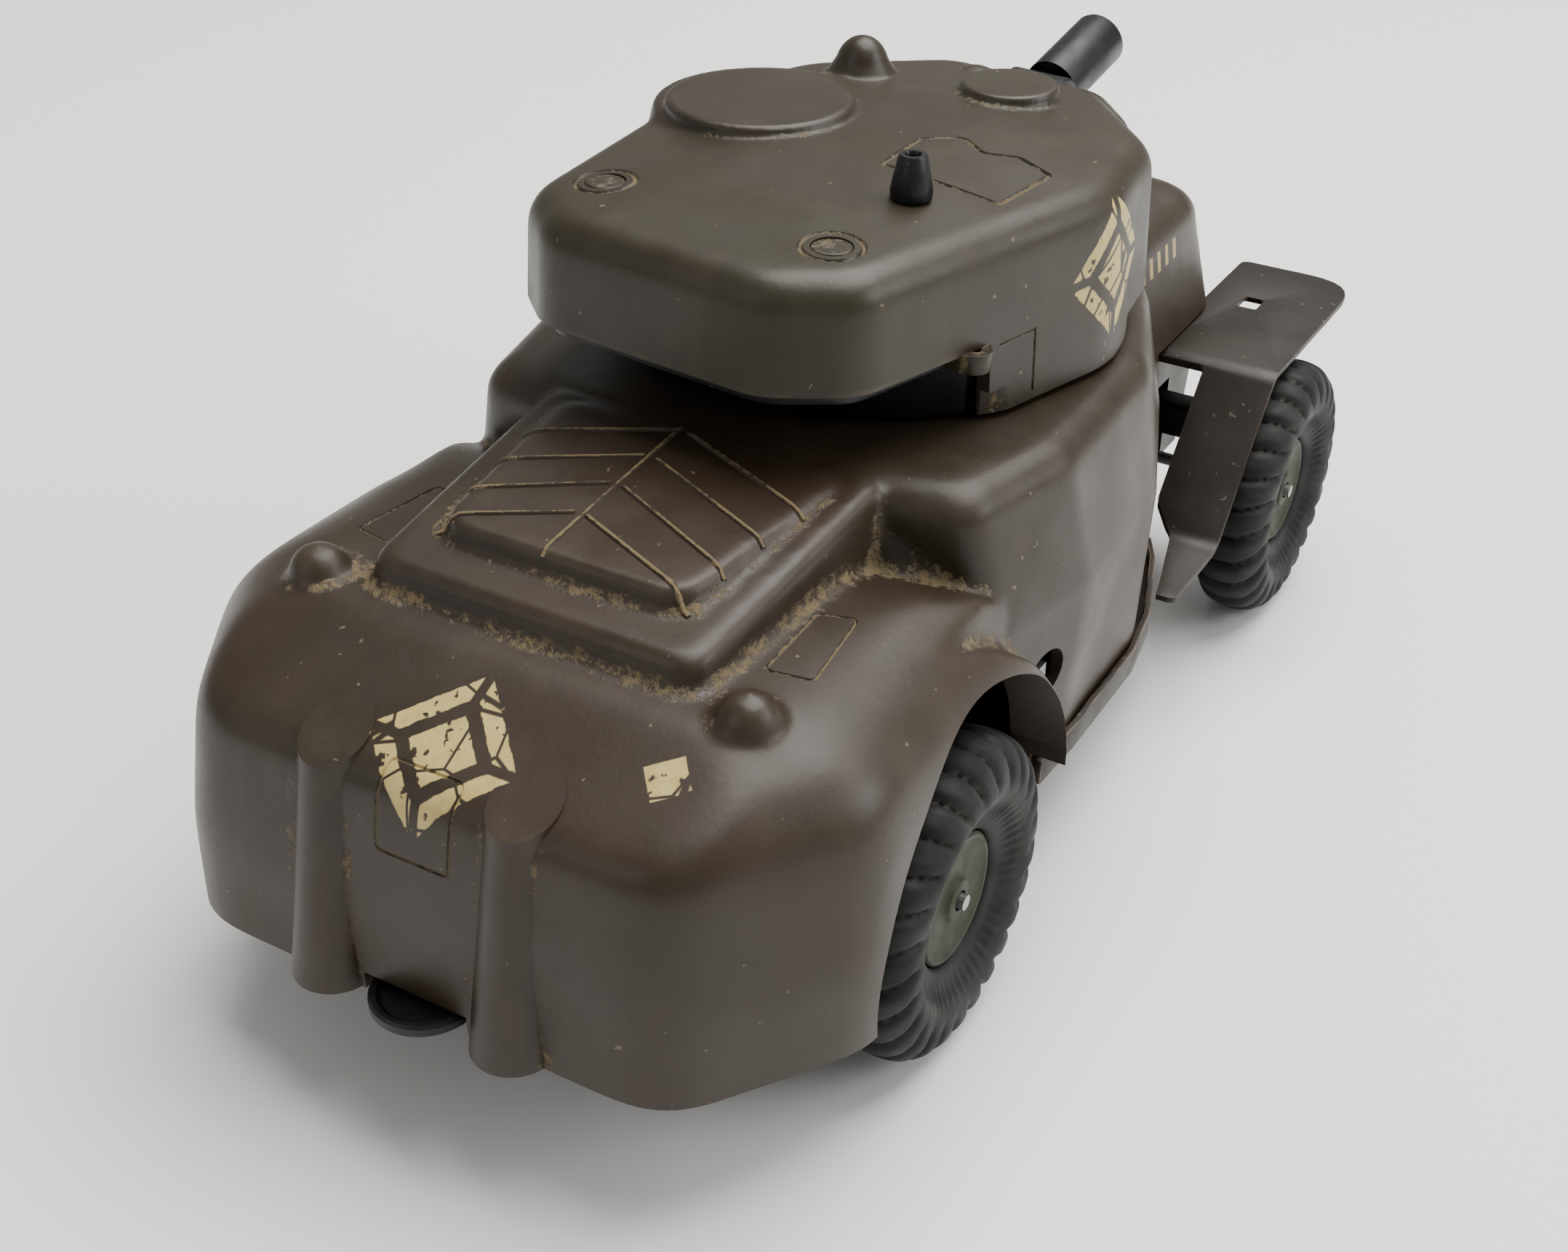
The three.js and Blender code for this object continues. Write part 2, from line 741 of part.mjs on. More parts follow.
place(toy, "hull_shell", hullShell(), olivePlastic);
place(toy, "base_plate", basePlate(), maroonTin);
place(toy, "front_fender_left", frontFender(1), maroonTin);
place(toy, "front_fender_right", frontFender(-1), maroonTin);
place(toy, "rear_tow_tongue", towTongue(), blackPlastic);

place(toy, "rear_axle", axle(0), steel);
place(toy, "front_axle", axle(WHEELBASE), steel);
place(toy, "front_axle_bracket", frontBracket(), blackPlastic);
for (const [end, x] of [["rear", 0], ["front", WHEELBASE]]) {
  for (const [hand, side] of [["left", 1], ["right", -1]]) {
    place(toy, `${end}_tyre_${hand}`, wheelPiece(tyreProfile, x, side, 24), rubber);
    place(toy, `${end}_hub_${hand}`, wheelPiece(hubProfile, x, side, 16), hubPlastic);
  }
}

place(toy, "motor_plate_left", motorPlate(MOTOR.left), steel);
place(toy, "motor_plate_right", motorPlate(MOTOR.right), steel);
place(toy, "motor_pillar_front", motorPillar(PILLARS.low), steel);
place(toy, "motor_pillar_rear", motorPillar(PILLARS.high), steel);
place(toy, "motor_pillar_top", motorPillar(PILLARS.top), steel);
place(toy, "mainspring", mainspring(), springSteel);
place(toy, "winding_arbor", windingArbor(), steel);
const arborBore = 1.5 + GAP;
const { x: arborX, z: arborZ } = WINDING_HOLE;
place(toy, "ratchet_wheel", toothedWheel(arborX, arborZ, -21, -18, 7, 18, arborBore), brass);
place(toy, "drive_pinion", toothedWheel(0, AXLE_Z, -19, -12, 4, 10, AXLE_R + GAP), brass);

const turret = new THREE.Group();
turret.position.set(TURRET.x, 0, 0);
turret.rotation.z = THREE.MathUtils.degToRad(TURRET.turn);
toy.add(turret);
place(turret, "turret_shell", turretShell(), olivePlastic);
place(turret, "turret_base", turretBase(), olivePlastic);
place(turret, "turret_pivot", turretPivot(), blackPlastic);
place(turret, "turret_retainer", turretRetainer(), steel);
place(turret, "roof_plug_left", roofPlug(1), olivePlastic);
place(turret, "roof_plug_right", roofPlug(-1), olivePlastic);
place(turret, "antenna_base", antennaBase(), blackPlastic);

const gun = new THREE.Group();
gun.position.set(GUN.u, GUN.v, GUN.z);
gun.rotation.y = THREE.MathUtils.degToRad(-GUN.elevation);
turret.add(gun);
place(gun, "gun_barrel", gunBarrel(), blackPlastic);
place(gun, "gun_mantlet", gunMantlet(), blackPlastic);
place(gun, "gun_trunnion_pin", trunnionPin(), steel);

export default toy;
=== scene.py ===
"""Toy armoured car: its looks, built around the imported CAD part.

Shapes are worked out in millimetres, in the vehicle's own frame: +X forward, +Y left, +Z up, with
the origin on the ground under the rear axle. Turret shapes use the turret's own frame, on its pivot.
A finished mesh is turned into metres and put in the part's frame.
"""

import json
import math

import bmesh
import bpy
import numpy as np
from mathutils import Matrix, Vector
from mathutils.bvhtree import BVHTree
from mathutils.kdtree import KDTree


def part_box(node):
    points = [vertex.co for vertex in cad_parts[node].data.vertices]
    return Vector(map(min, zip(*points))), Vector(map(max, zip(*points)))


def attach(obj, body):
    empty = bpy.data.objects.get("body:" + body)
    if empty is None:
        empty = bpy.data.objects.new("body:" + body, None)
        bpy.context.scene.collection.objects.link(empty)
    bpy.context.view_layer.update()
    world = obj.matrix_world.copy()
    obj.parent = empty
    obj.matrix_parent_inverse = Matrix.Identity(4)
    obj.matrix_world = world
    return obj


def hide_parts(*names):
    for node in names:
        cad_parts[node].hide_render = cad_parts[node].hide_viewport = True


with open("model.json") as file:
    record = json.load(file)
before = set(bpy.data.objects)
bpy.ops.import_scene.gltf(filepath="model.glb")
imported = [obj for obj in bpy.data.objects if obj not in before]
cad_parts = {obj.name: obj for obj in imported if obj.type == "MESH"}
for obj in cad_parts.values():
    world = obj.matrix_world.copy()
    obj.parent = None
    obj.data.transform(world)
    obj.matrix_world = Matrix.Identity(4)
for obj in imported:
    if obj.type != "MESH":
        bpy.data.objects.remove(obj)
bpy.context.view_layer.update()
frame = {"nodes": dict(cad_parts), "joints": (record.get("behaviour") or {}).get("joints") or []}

MM = 0.001


# ------------------------------------------------------------------ places, from the frame


def middle(node):
    low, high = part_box(node)
    return (low + high) / 2


def joint(name):
    return next(j for j in frame["joints"] if j["name"] == name)


AXLE = middle("rear_axle")
WHEELBASE = (middle("front_axle").x - AXLE.x) / MM
AXLE_Z = AXLE.z / MM
GUN_ELEVATION = math.radians(16)
TURRET_TURN = math.asin(joint("gun_elevate")["axis"][0])

VEHICLE = Matrix.Translation((AXLE.x, 0, 0)) @ Matrix.Scale(MM, 4)
TURRET_X = Vector(joint("turret_turn")["pos_m"]).x
TURRET = Matrix.Translation((TURRET_X, 0, 0)) @ Matrix.Rotation(TURRET_TURN, 4, "Z") @ Matrix.Scale(MM, 4)
GUN = (
    Matrix.Translation(joint("gun_elevate")["pos_m"])
    @ Matrix.Rotation(TURRET_TURN, 4, "Z")
    @ Matrix.Rotation(-GUN_ELEVATION, 4, "Y")
    @ Matrix.Scale(MM, 4)
)

# ------------------------------------------------------------------ mesh helpers

CORNER_STEPS = 10
EDGE_STEPS = 8


def make(name, vertices, faces):
    mesh = bpy.data.meshes.new(name)
    mesh.from_pydata([tuple(v) for v in vertices], [], [tuple(f) for f in faces])
    obj = bpy.data.objects.new(name, mesh)
    bpy.context.collection.objects.link(obj)
    return obj


def applied(obj):
    """Turns an object's modifiers into its mesh."""
    graph = bpy.context.evaluated_depsgraph_get()
    mesh = bpy.data.meshes.new_from_object(obj.evaluated_get(graph))
    old = obj.data
    obj.modifiers.clear()
    obj.data = mesh
    bpy.data.meshes.remove(old)
    return obj


def discard(obj):
    mesh = obj.data
    bpy.data.objects.remove(obj)
    bpy.data.meshes.remove(mesh)


def combine(body, tools, operation):
    for tool in tools:
        modifier = body.modifiers.new("combine", "BOOLEAN")
        modifier.operation = operation
        modifier.solver = "MANIFOLD"
        modifier.object = tool
    applied(body)
    for tool in tools:
        discard(tool)
    return body


def cut(body, *tools):
    return combine(body, tools, "DIFFERENCE")


def add(body, *tools):
    return combine(body, tools, "UNION")


def common(body, *tools):
    return combine(body, tools, "INTERSECT")


def remesh(obj, voxel, smoothing):
    """Rebuilds a shape on an even grid with cells of this size, then smooths it this many times."""
    modifier = obj.modifiers.new("even", "REMESH")
    modifier.mode = "VOXEL"
    modifier.voxel_size = voxel
    soften = obj.modifiers.new("soften", "SMOOTH")
    soften.factor = 0.5
    soften.iterations = smoothing
    return applied(obj)


def bevel(obj, width):
    modifier = obj.modifiers.new("bevel", "BEVEL")
    modifier.width = width
    modifier.segments = 2
    modifier.limit_method = "ANGLE"
    modifier.angle_limit = math.radians(35)
    return applied(obj)


def shade(obj, angle=35):
    obj.data.shade_smooth()
    obj.data.set_sharp_from_angle(angle=math.radians(angle))
    return obj


def moved(obj, matrix):
    obj.data.transform(matrix)
    return obj


def box(x0, x1, y0, y1, z0, z1):
    corners = [(x, y, z) for x in (x0, x1) for y in (y0, y1) for z in (z0, z1)]
    faces = [(0, 1, 3, 2), (4, 6, 7, 5), (0, 4, 5, 1), (2, 3, 7, 6), (0, 2, 6, 4), (1, 5, 7, 3)]
    return make("box", corners, faces)


def stacked(n, levels):
    """Faces through this many rings of n points each, closed at both ends."""
    faces = [tuple(range(n))[::-1], tuple(range((levels - 1) * n, levels * n))]
    for level in range(levels - 1):
        for i in range(n):
            a = level * n + i
            b = level * n + (i + 1) % n
            faces.append((a, b, b + n, a + n))
    return faces


def prism(outline, low, high, to_3d):
    """A closed outline extruded from low to high. to_3d turns (a, b, height) into a point."""
    vertices = [to_3d(a, b, h) for h in (low, high) for a, b in outline]
    return outward(make("prism", vertices, stacked(len(outline), 2)))


def outward(obj):
    bm = bmesh.new()
    bm.from_mesh(obj.data)
    bmesh.ops.recalc_face_normals(bm, faces=bm.faces)
    bm.to_mesh(obj.data)
    bm.free()
    return obj


def upright(a, b, h):
    return (a, b, h)


def along_y(a, b, h):
    return (a, h, b)


def span(side, near, far):
    """From near to far on one side of the middle, lower value first. side is 1 or -1."""
    return sorted((near * side, far * side))


def circle(x, y, r, sides):
    angles = np.linspace(0, 2 * math.pi, sides, endpoint=False)
    return [(x + r * math.cos(t), y + r * math.sin(t)) for t in angles]


def post(x, y, z0, z1, r, sides=48):
    return prism(circle(x, y, r, sides), z0, z1, upright)


def rod(x, z, y0, y1, r, sides=96):
    return prism(circle(x, z, r, sides), y0, y1, along_y)


def lathe(profile, sides, closed=False):
    """A profile of (radius, height) turned about Z. A radius of 0 closes an end."""
    vertices = []
    faces = []
    rings = []
    for r, h in profile:
        if r == 0:
            rings.append([len(vertices)])
            vertices.append((0, 0, h))
        else:
            rings.append(list(range(len(vertices), len(vertices) + sides)))
            vertices += [(x, y, h) for x, y in circle(0, 0, r, sides)]
    pairs = list(zip(rings, rings[1:]))
    if closed:
        pairs.append((rings[-1], rings[0]))
    for lower, upper in pairs:
        for i in range(sides):
            j = (i + 1) % sides
            face = [ring[k % len(ring)] for ring, k in ((lower, i), (lower, j), (upper, j), (upper, i))]
            faces.append(tuple(dict.fromkeys(face)))
    return outward(make("lathe", vertices, faces))


def ball(x, y, z, r, squash=1.0):
    heights = np.linspace(-math.pi / 2, math.pi / 2, 17)
    profile = [(r * math.cos(t), r * squash * math.sin(t)) for t in heights]
    profile[0] = (0, -r * squash)
    profile[-1] = (0, r * squash)
    return moved(lathe(profile, 32), Matrix.Translation((x, y, z)))


def both_sides(corners):
    return list(corners) + [(x, -y, r) for x, y, r in reversed(corners)]


def curve(start, corner, end, t):
    return (1 - t) ** 2 * start + 2 * t * (1 - t) * corner + t * t * end


def rounded(corners, steps=CORNER_STEPS):
    """Each corner is (x, y, radius). Every corner gets the same number of points."""
    points = []
    count = len(corners)
    for i, (x, y, radius) in enumerate(corners):
        corner = np.array((x, y), float)
        to_before = np.array(corners[i - 1][:2], float) - corner
        to_after = np.array(corners[(i + 1) % count][:2], float) - corner
        reach = 0.49 * min(np.linalg.norm(to_before), np.linalg.norm(to_after))
        to_before /= np.linalg.norm(to_before)
        to_after /= np.linalg.norm(to_after)
        half = math.acos(float(np.clip(to_before @ to_after, -1, 1))) / 2
        reach = min(radius / math.tan(half), reach)
        start = corner + to_before * reach
        end = corner + to_after * reach
        points += [curve(start, corner, end, t) for t in np.linspace(0, 1, steps + 1)]
    return np.array(points)


def inset(points, distance):
    along = np.roll(points, -1, axis=0) - np.roll(points, 1, axis=0)
    along /= np.linalg.norm(along, axis=1)[:, None]
    return points + distance * np.stack([-along[:, 1], along[:, 0]], axis=1)


def moulded(shape, thin=0.0, skirt=0.0):
    """A block with walls through its levels and a rounded edge up to its crown.
    thin takes a wall's thickness off, and skirt makes the block reach lower."""
    levels = shape["levels"]
    crown_z, crown = shape["crown"]
    rings = []

    def ring(corners, z):
        flat = inset(rounded(both_sides(corners)), thin)
        rings.append(np.column_stack([flat, np.full(len(flat), z)]))

    for i, (z, corners) in enumerate(levels):
        ring(corners, z - (thin * 2 + skirt if i == 0 else 0))
    top_z, top = levels[-1]
    for i in range(1, EDGE_STEPS + 1):
        angle = i / EDGE_STEPS * math.pi / 2
        share = 1 - math.cos(angle)
        corners = [tuple(a + (b - a) * share for a, b in zip(*pair)) for pair in zip(top, crown)]
        ring(corners, top_z + (crown_z - thin - top_z) * math.sin(angle))
    edge = rings[-1]
    for scale in (0.85, 0.7, 0.5, 0.3) if shape.get("dome") else ():
        inner = edge * (scale, scale, 1)
        inner[:, 2] += shape["dome"] * (1 - scale * scale)
        rings.append(inner)
    vertices = np.concatenate(rings)
    vertices[:, 2] += shape.get("raise", 0) * (vertices[:, 0] - shape.get("raise_from", 0))
    return make("moulded", vertices, stacked(len(edge), len(rings)))


# ------------------------------------------------------------------ lines on a surface

DOWN = Vector((0, 0, -1))
# Cross-sections of lines: each point is across the line and above the surface.
RIDGE = [(-0.42, -0.4), (0.42, -0.4), (0.34, 0.08), (0.14, 0.26), (-0.14, 0.26), (-0.34, 0.08)]
GROOVE = [(-0.5, 0.3), (-0.36, 0.02), (-0.12, -0.3), (0.12, -0.3), (0.36, 0.02), (0.5, 0.3)]
FINE_GROOVE = [(0.6 * a, 0.75 * b) for a, b in GROOVE]


def tree_of(obj):
    bm = bmesh.new()
    bm.from_mesh(obj.data)
    tree = BVHTree.FromBMesh(bm)
    bm.free()
    return tree


def resampled(points, closed, step=0.8):
    ends = list(points) + ([points[0]] if closed else [])
    dense = []
    for a, b in zip(ends, ends[1:]):
        a = Vector(a)
        b = Vector(b)
        count = max(1, round((b - a).length / step))
        dense += [a.lerp(b, i / count) for i in range(count)]
    if not closed:
        dense.append(Vector(ends[-1]))
    return dense


def strip_on(tree, points, section, closed=False, direction=DOWN):
    """A bar with the given cross-section that follows the points, dropped on a surface."""
    path = []
    for point in resampled(points, closed):
        hit, normal, _, _ = tree.ray_cast(point, direction)
        if hit:
            path.append((hit, normal))
    count = len(path)
    vertices = []
    for i, (point, _) in enumerate(path):
        around = [path[(i + k) % count if closed else min(max(i + k, 0), count - 1)] for k in range(-2, 3)]
        normal = sum((n for _, n in around), Vector()).normalized()
        along = (around[3][0] - around[1][0]).normalized()
        side = along.cross(normal).normalized()
        vertices += [point + side * a + normal * b for a, b in section]
    k = len(section)
    faces = []
    for i in range(count if closed else count - 1):
        for j in range(k):
            a, b = i * k, (i + 1) % count * k
            faces.append((a + j, a + (j + 1) % k, b + (j + 1) % k, b + j))
    if not closed:
        faces.append(tuple(range(k)))
        faces.append(tuple(range((count - 1) * k, count * k)))
    return outward(make("strip", vertices, faces))


def merge(body, parts):
    """Adds loose shells to a mesh without a boolean."""
    bm = bmesh.new()
    bm.from_mesh(body.data)
    for part in parts:
        bm.from_mesh(part.data)
    bm.to_mesh(body.data)
    bm.free()
    for part in parts:
        discard(part)
    return body


# ------------------------------------------------------------------ dust and wear, from the shape


def weather(obj, dust, wear):
    """Writes the two attributes that the materials read, one value for each vertex."""
    for name, values in (("dust", dust), ("wear", wear)):
        obj.data.attributes.new(name, "FLOAT", "POINT").data.foreach_set("value", values)


# How far off the plain surface a line's own faces lie, and how deep a crease or sharp an edge is
# when its dust or wear is full.
LINE_NEAR = 0.1
LINE_FAR = 0.75
FULL_DUST = 0.24
FULL_WEAR = 0.35


class Relief:
    """Remembers how hollow or how sharp each place of a smooth shell is.

    A place is hollow when smoothing moves it outward, and sharp when smoothing moves it inward.
    """

    def __init__(self, obj, reach):
        count = len(obj.data.vertices)
        places = np.empty(count * 3)
        obj.data.vertices.foreach_get("co", places)
        places = places.reshape(-1, 3)
        normals = np.empty(count * 3)
        obj.data.vertices.foreach_get("normal", normals)
        normals = normals.reshape(-1, 3)
        softened = obj.copy()
        softened.data = obj.data.copy()
        bpy.context.collection.objects.link(softened)
        soften = softened.modifiers.new("soften", "SMOOTH")
        soften.factor = 0.5
        soften.iterations = reach
        applied(softened)
        smooth = np.empty(count * 3)
        softened.data.vertices.foreach_get("co", smooth)
        discard(softened)
        self.hollow = np.einsum("ij,ij->i", smooth.reshape(-1, 3) - places, normals)
        self.near = KDTree(count)
        for i, place in enumerate(places):
            self.near.insert(place, i)
        self.near.balance()

    def paint(self, obj, plain, line_dust=1.0):
        """Writes the dust and wear attributes. Whatever lies off the plain surface is an engraved
        or raised line, and gets its own dust."""
        dust = []
        wear = []
        for vertex in obj.data.vertices:
            _, index, _ = self.near.find(vertex.co)
            _, _, _, off = plain.find_nearest(vertex.co)
            amount = float(self.hollow[index])
            line = LINE_NEAR < off < LINE_FAR
            inside = off >= LINE_FAR
            dust.append(line_dust if line else 0 if inside else min(max(amount / FULL_DUST, 0), 1))
            wear.append(0 if line or inside else min(max(-amount / FULL_WEAR, 0), 1))
        weather(obj, dust, wear)


# ------------------------------------------------------------------ shader helpers


class Shader:
    """A material and its nodes. Every method returns the socket with the result."""

    def __init__(self, name):
        self.material = bpy.data.materials.new(name)
        self.material.use_nodes = True
        self.tree = self.material.node_tree
        self.surface = self.tree.nodes["Principled BSDF"]
        self.place = self.node("ShaderNodeTexCoord").outputs["Object"]

    def node(self, kind, inputs=(), **settings):
        made = self.tree.nodes.new(kind)
        for name, value in settings.items():
            setattr(made, name, value)
        for key, value in dict(inputs).items():
            self.put(made.inputs[key], value)
        return made

    def put(self, socket, value):
        if isinstance(value, bpy.types.NodeSocket):
            self.tree.links.new(value, socket)
        else:
            socket.default_value = value

    def math(self, operation, a, b=0.0):
        return self.node("ShaderNodeMath", {0: a, 1: b}, operation=operation).outputs[0]

    def noise(self, scale, detail=3.0, place=None, roughness=0.55):
        inputs = {"Vector": place or self.place, "Scale": scale, "Detail": detail, "Roughness": roughness}
        return self.node("ShaderNodeTexNoise", inputs).outputs[0]

    def stretched(self, x, y, z):
        inputs = {"Vector": self.place, "Scale": (x, y, z)}
        return self.node("ShaderNodeMapping", inputs).outputs[0]

    def ramp(self, value, low, high, start=0.0, end=1.0):
        """Start up to low, end from high on, and smooth between."""
        inputs = {"Value": value, "From Min": low, "From Max": high, "To Min": start, "To Max": end}
        return self.node("ShaderNodeMapRange", inputs, interpolation_type="SMOOTHSTEP").outputs[0]

    def mix(self, factor, a, b):
        made = self.node("ShaderNodeMix", data_type="RGBA")
        self.put(made.inputs[0], factor)
        self.put(made.inputs[6], a)
        self.put(made.inputs[7], b)
        return made.outputs[2]

    def attribute(self, name):
        return self.node("ShaderNodeAttribute", attribute_name=name).outputs["Fac"]

    def bump(self, height, strength, distance, normal=None):
        made = self.node("ShaderNodeBump", {"Height": height, "Strength": strength, "Distance": distance})
        if normal:
            self.put(made.inputs["Normal"], normal)
        return made.outputs[0]

    def finish(self, colour, roughness, normal=None, **fixed):
        self.put(self.surface.inputs["Base Color"], colour)
        self.put(self.surface.inputs["Roughness"], roughness)
        if normal:
            self.put(self.surface.inputs["Normal"], normal)
        for name, value in fixed.items():
            self.surface.inputs[name.replace("_", " ")].default_value = value
        return self.material


def linear(r, g, b):
    """A screen colour, 0 to 255, as the linear colour that a shader takes."""
    channels = [c / 255 for c in (r, g, b)]
    return tuple(c / 12.92 if c < 0.04045 else ((c + 0.055) / 1.055) ** 2.4 for c in channels) + (1.0,)


# ------------------------------------------------------------------ painted marks


def facing(normal, up):
    """Rotation of a flat mark that looks along normal, with its top towards up."""
    z = Vector(normal).normalized()
    x = Vector(up).cross(z).normalized()
    y = z.cross(x)
    return Matrix((x, y, z)).transposed().to_euler()


def local_place(shader, centre, turn):
    """Position in millimetres from a mark's centre, along its own axes."""
    inputs = {"Vector": shader.place, "Location": centre, "Rotation": turn, "Scale": (MM, MM, MM)}
    mapping = shader.node("ShaderNodeMapping", inputs, vector_type="TEXTURE").outputs[0]
    parts = shader.node("ShaderNodeSeparateXYZ", {0: mapping})
    flat = [shader.math("ABSOLUTE", parts.outputs[i]) for i in range(3)]
    return mapping, parts, flat


def diamond_mark(shader, centre, turn, size, bordered):
    """A worn, cracked diamond, with a broken border around it when bordered."""
    mapping, _, (a, b, depth) = local_place(shader, centre, turn)
    wobble = shader.math("MULTIPLY", shader.noise(0.9, 2, mapping), 0.07 * size)
    reach = shader.math("ADD", shader.math("ADD", a, b), wobble)
    edge = size * (0.48 if bordered else 1)
    paint = shader.ramp(reach, edge - 0.1, edge + 0.1, 1, 0)
    if bordered:
        outer = shader.ramp(reach, size - 0.1, size + 0.1, 1, 0)
        hollow = shader.ramp(reach, size * 0.7 - 0.1, size * 0.7 + 0.1)
        gaps = shader.ramp(shader.math("MINIMUM", a, b), 0.45, 0.65)
        border = shader.math("MULTIPLY", shader.math("MULTIPLY", outer, hollow), gaps)
        paint = shader.math("MAXIMUM", paint, border)
    inputs = {"Vector": mapping, "Scale": 0.17}
    cells = shader.node("ShaderNodeTexVoronoi", inputs, feature="DISTANCE_TO_EDGE")
    cracks = shader.ramp(cells.outputs["Distance"], 0.015, 0.035)
    chips = shader.ramp(shader.noise(0.5, 4, mapping), 0.37, 0.41)
    paint = shader.math("MULTIPLY", paint, shader.math("MULTIPLY", cracks, chips))
    return shader.math("MULTIPLY", paint, shader.ramp(depth, size - 0.5, size, 1, 0))


def bar_marks(shader, centre, turn):
    """A short row of plain upright bars."""
    _, parts, (along, height, depth) = local_place(shader, centre, turn)
    step = shader.math("PINGPONG", parts.outputs[0], 1.5)
    bar = shader.ramp(step, 0.5, 0.65, 1, 0)
    paint = shader.math("MULTIPLY", bar, shader.ramp(height, 1.3, 1.5, 1, 0))
    paint = shader.math("MULTIPLY", paint, shader.ramp(along, 7.2, 7.5, 1, 0))
    return shader.math("MULTIPLY", paint, shader.ramp(depth, 3, 4, 0.7, 0))


# ------------------------------------------------------------------ materials

DUST = linear(108, 94, 68)
PAINT = linear(196, 180, 120)


def olive_plastic(name, tint, marks=()):
    """Aged olive-brown plastic: dust in the creases, worn edges, faint streaks down the walls."""
    s = Shader(name)
    patches = s.ramp(s.noise(22, 3), 0.35, 0.68)
    colour = s.mix(patches, linear(42, 34, 24), tint)
    streaks = s.ramp(s.noise(1, 4, s.stretched(150, 150, 14)), 0.5, 0.75)
    colour = s.mix(s.math("MULTIPLY", streaks, 0.35), colour, linear(58, 49, 38))
    mottle = s.ramp(s.noise(260, 4), 0.45, 0.7)
    colour = s.mix(s.math("MULTIPLY", mottle, 0.22), colour, linear(32, 26, 18))
    wear = s.math("MULTIPLY", s.attribute("wear"), s.ramp(s.noise(180, 5), 0.42, 0.66))
    colour = s.mix(s.math("MULTIPLY", wear, 0.45), colour, linear(76, 66, 52))
    scuffs = s.ramp(s.noise(700, 2), 0.735, 0.76)
    colour = s.mix(s.math("MULTIPLY", scuffs, 0.55), colour, linear(120, 106, 84))
    clumps = s.noise(950, 4, roughness=0.7)
    reach = s.math("ADD", s.attribute("dust"), s.ramp(clumps, 0.3, 0.7, -0.42, 0.42))
    reach = s.math("ADD", reach, s.ramp(s.noise(75, 3), 0.3, 0.7, -0.45, 0.35))
    dust = s.math("MULTIPLY", s.ramp(reach, 0.35, 1.05), s.ramp(s.attribute("dust"), 0.08, 0.3))
    colour = s.mix(s.math("MULTIPLY", dust, 0.85), colour, DUST)
    roughness = s.ramp(s.noise(90, 4), 0.3, 0.7, 0.36, 0.48)
    roughness = s.math("MAXIMUM", roughness, s.math("MULTIPLY", dust, 0.9))
    for mark in marks:
        paint = mark(s)
        colour = s.mix(paint, colour, s.mix(s.noise(600, 3), PAINT, linear(160, 138, 82)))
    grain = s.bump(s.noise(1600, 3), 0.16, 0.00012)
    waves = s.bump(s.noise(55, 2), 0.25, 0.0006, grain)
    dusty = s.bump(s.math("MULTIPLY", dust, clumps), 0.5, 0.0004, waves)
    return s.finish(colour, roughness, dusty, Specular_IOR_Level=0.36)


def painted_tin(name):
    """Dark maroon-brown painted tin with scuffed, paler edges."""
    s = Shader(name)
    colour = s.mix(s.ramp(s.noise(30, 4), 0.35, 0.7), linear(26, 20, 15), linear(33, 26, 19))
    spots = s.ramp(s.noise(900, 2), 0.7, 0.74)
    colour = s.mix(s.math("MULTIPLY", spots, 0.4), colour, linear(120, 110, 94))
    wear = s.math("MULTIPLY", s.attribute("wear"), s.ramp(s.noise(240, 5), 0.35, 0.6))
    colour = s.mix(wear, colour, linear(104, 88, 72))
    grime = s.ramp(s.noise(130, 5), 0.55, 0.75)
    colour = s.mix(s.math("MULTIPLY", grime, 0.2), colour, linear(56, 46, 34))
    roughness = s.ramp(s.noise(120, 4), 0.3, 0.7, 0.4, 0.55)
    return s.finish(colour, roughness, s.bump(s.noise(500, 3), 0.12, 0.0001), Specular_IOR_Level=0.35)


def black_plastic(name):
    s = Shader(name)
    colour = s.mix(s.ramp(s.noise(80, 4), 0.35, 0.7), linear(6, 7, 9), linear(12, 13, 16))
    specks = s.ramp(s.noise(1100, 2), 0.7, 0.73)
    colour = s.mix(s.math("MULTIPLY", specks, 0.5), colour, linear(80, 76, 68))
    roughness = s.ramp(s.noise(200, 4), 0.3, 0.7, 0.34, 0.5)
    return s.finish(colour, roughness, s.bump(s.noise(1300, 3), 0.15, 0.0001), Specular_IOR_Level=0.35)


def tyre_rubber(name):
    """Blue-grey rubber, paler where handling has polished it and dusty in the grooves."""
    s = Shader(name)
    colour = s.mix(s.ramp(s.noise(70, 4), 0.35, 0.7), linear(7, 8, 9), linear(13, 14, 14))
    dust = s.math("MULTIPLY", s.attribute("dust"), s.ramp(s.noise(250, 5), 0.3, 0.65))
    colour = s.mix(s.math("MULTIPLY", dust, 0.45), colour, linear(44, 41, 33))
    worn = s.math("MULTIPLY", s.attribute("wear"), s.ramp(s.noise(300, 5), 0.4, 0.62))
    colour = s.mix(s.math("MULTIPLY", worn, 0.35), colour, linear(44, 46, 43))
    roughness = s.ramp(s.noise(160, 4), 0.3, 0.7, 0.55, 0.78)
    return s.finish(colour, roughness, s.bump(s.noise(700, 4), 0.3, 0.00025), Specular_IOR_Level=0.3)


def hub_plastic(name):
    s = Shader(name)
    colour = s.mix(s.ramp(s.noise(120, 4), 0.35, 0.65), linear(32, 34, 23), linear(50, 51, 36))
    stains = s.ramp(s.noise(420, 6, roughness=0.75), 0.5, 0.68)
    colour = s.mix(s.math("MULTIPLY", stains, 0.75), colour, linear(26, 26, 22))
    roughness = s.ramp(s.noise(200, 4), 0.3, 0.7, 0.45, 0.7)
    return s.finish(colour, roughness, s.bump(s.noise(500, 5), 0.4, 0.0003), Specular_IOR_Level=0.3)


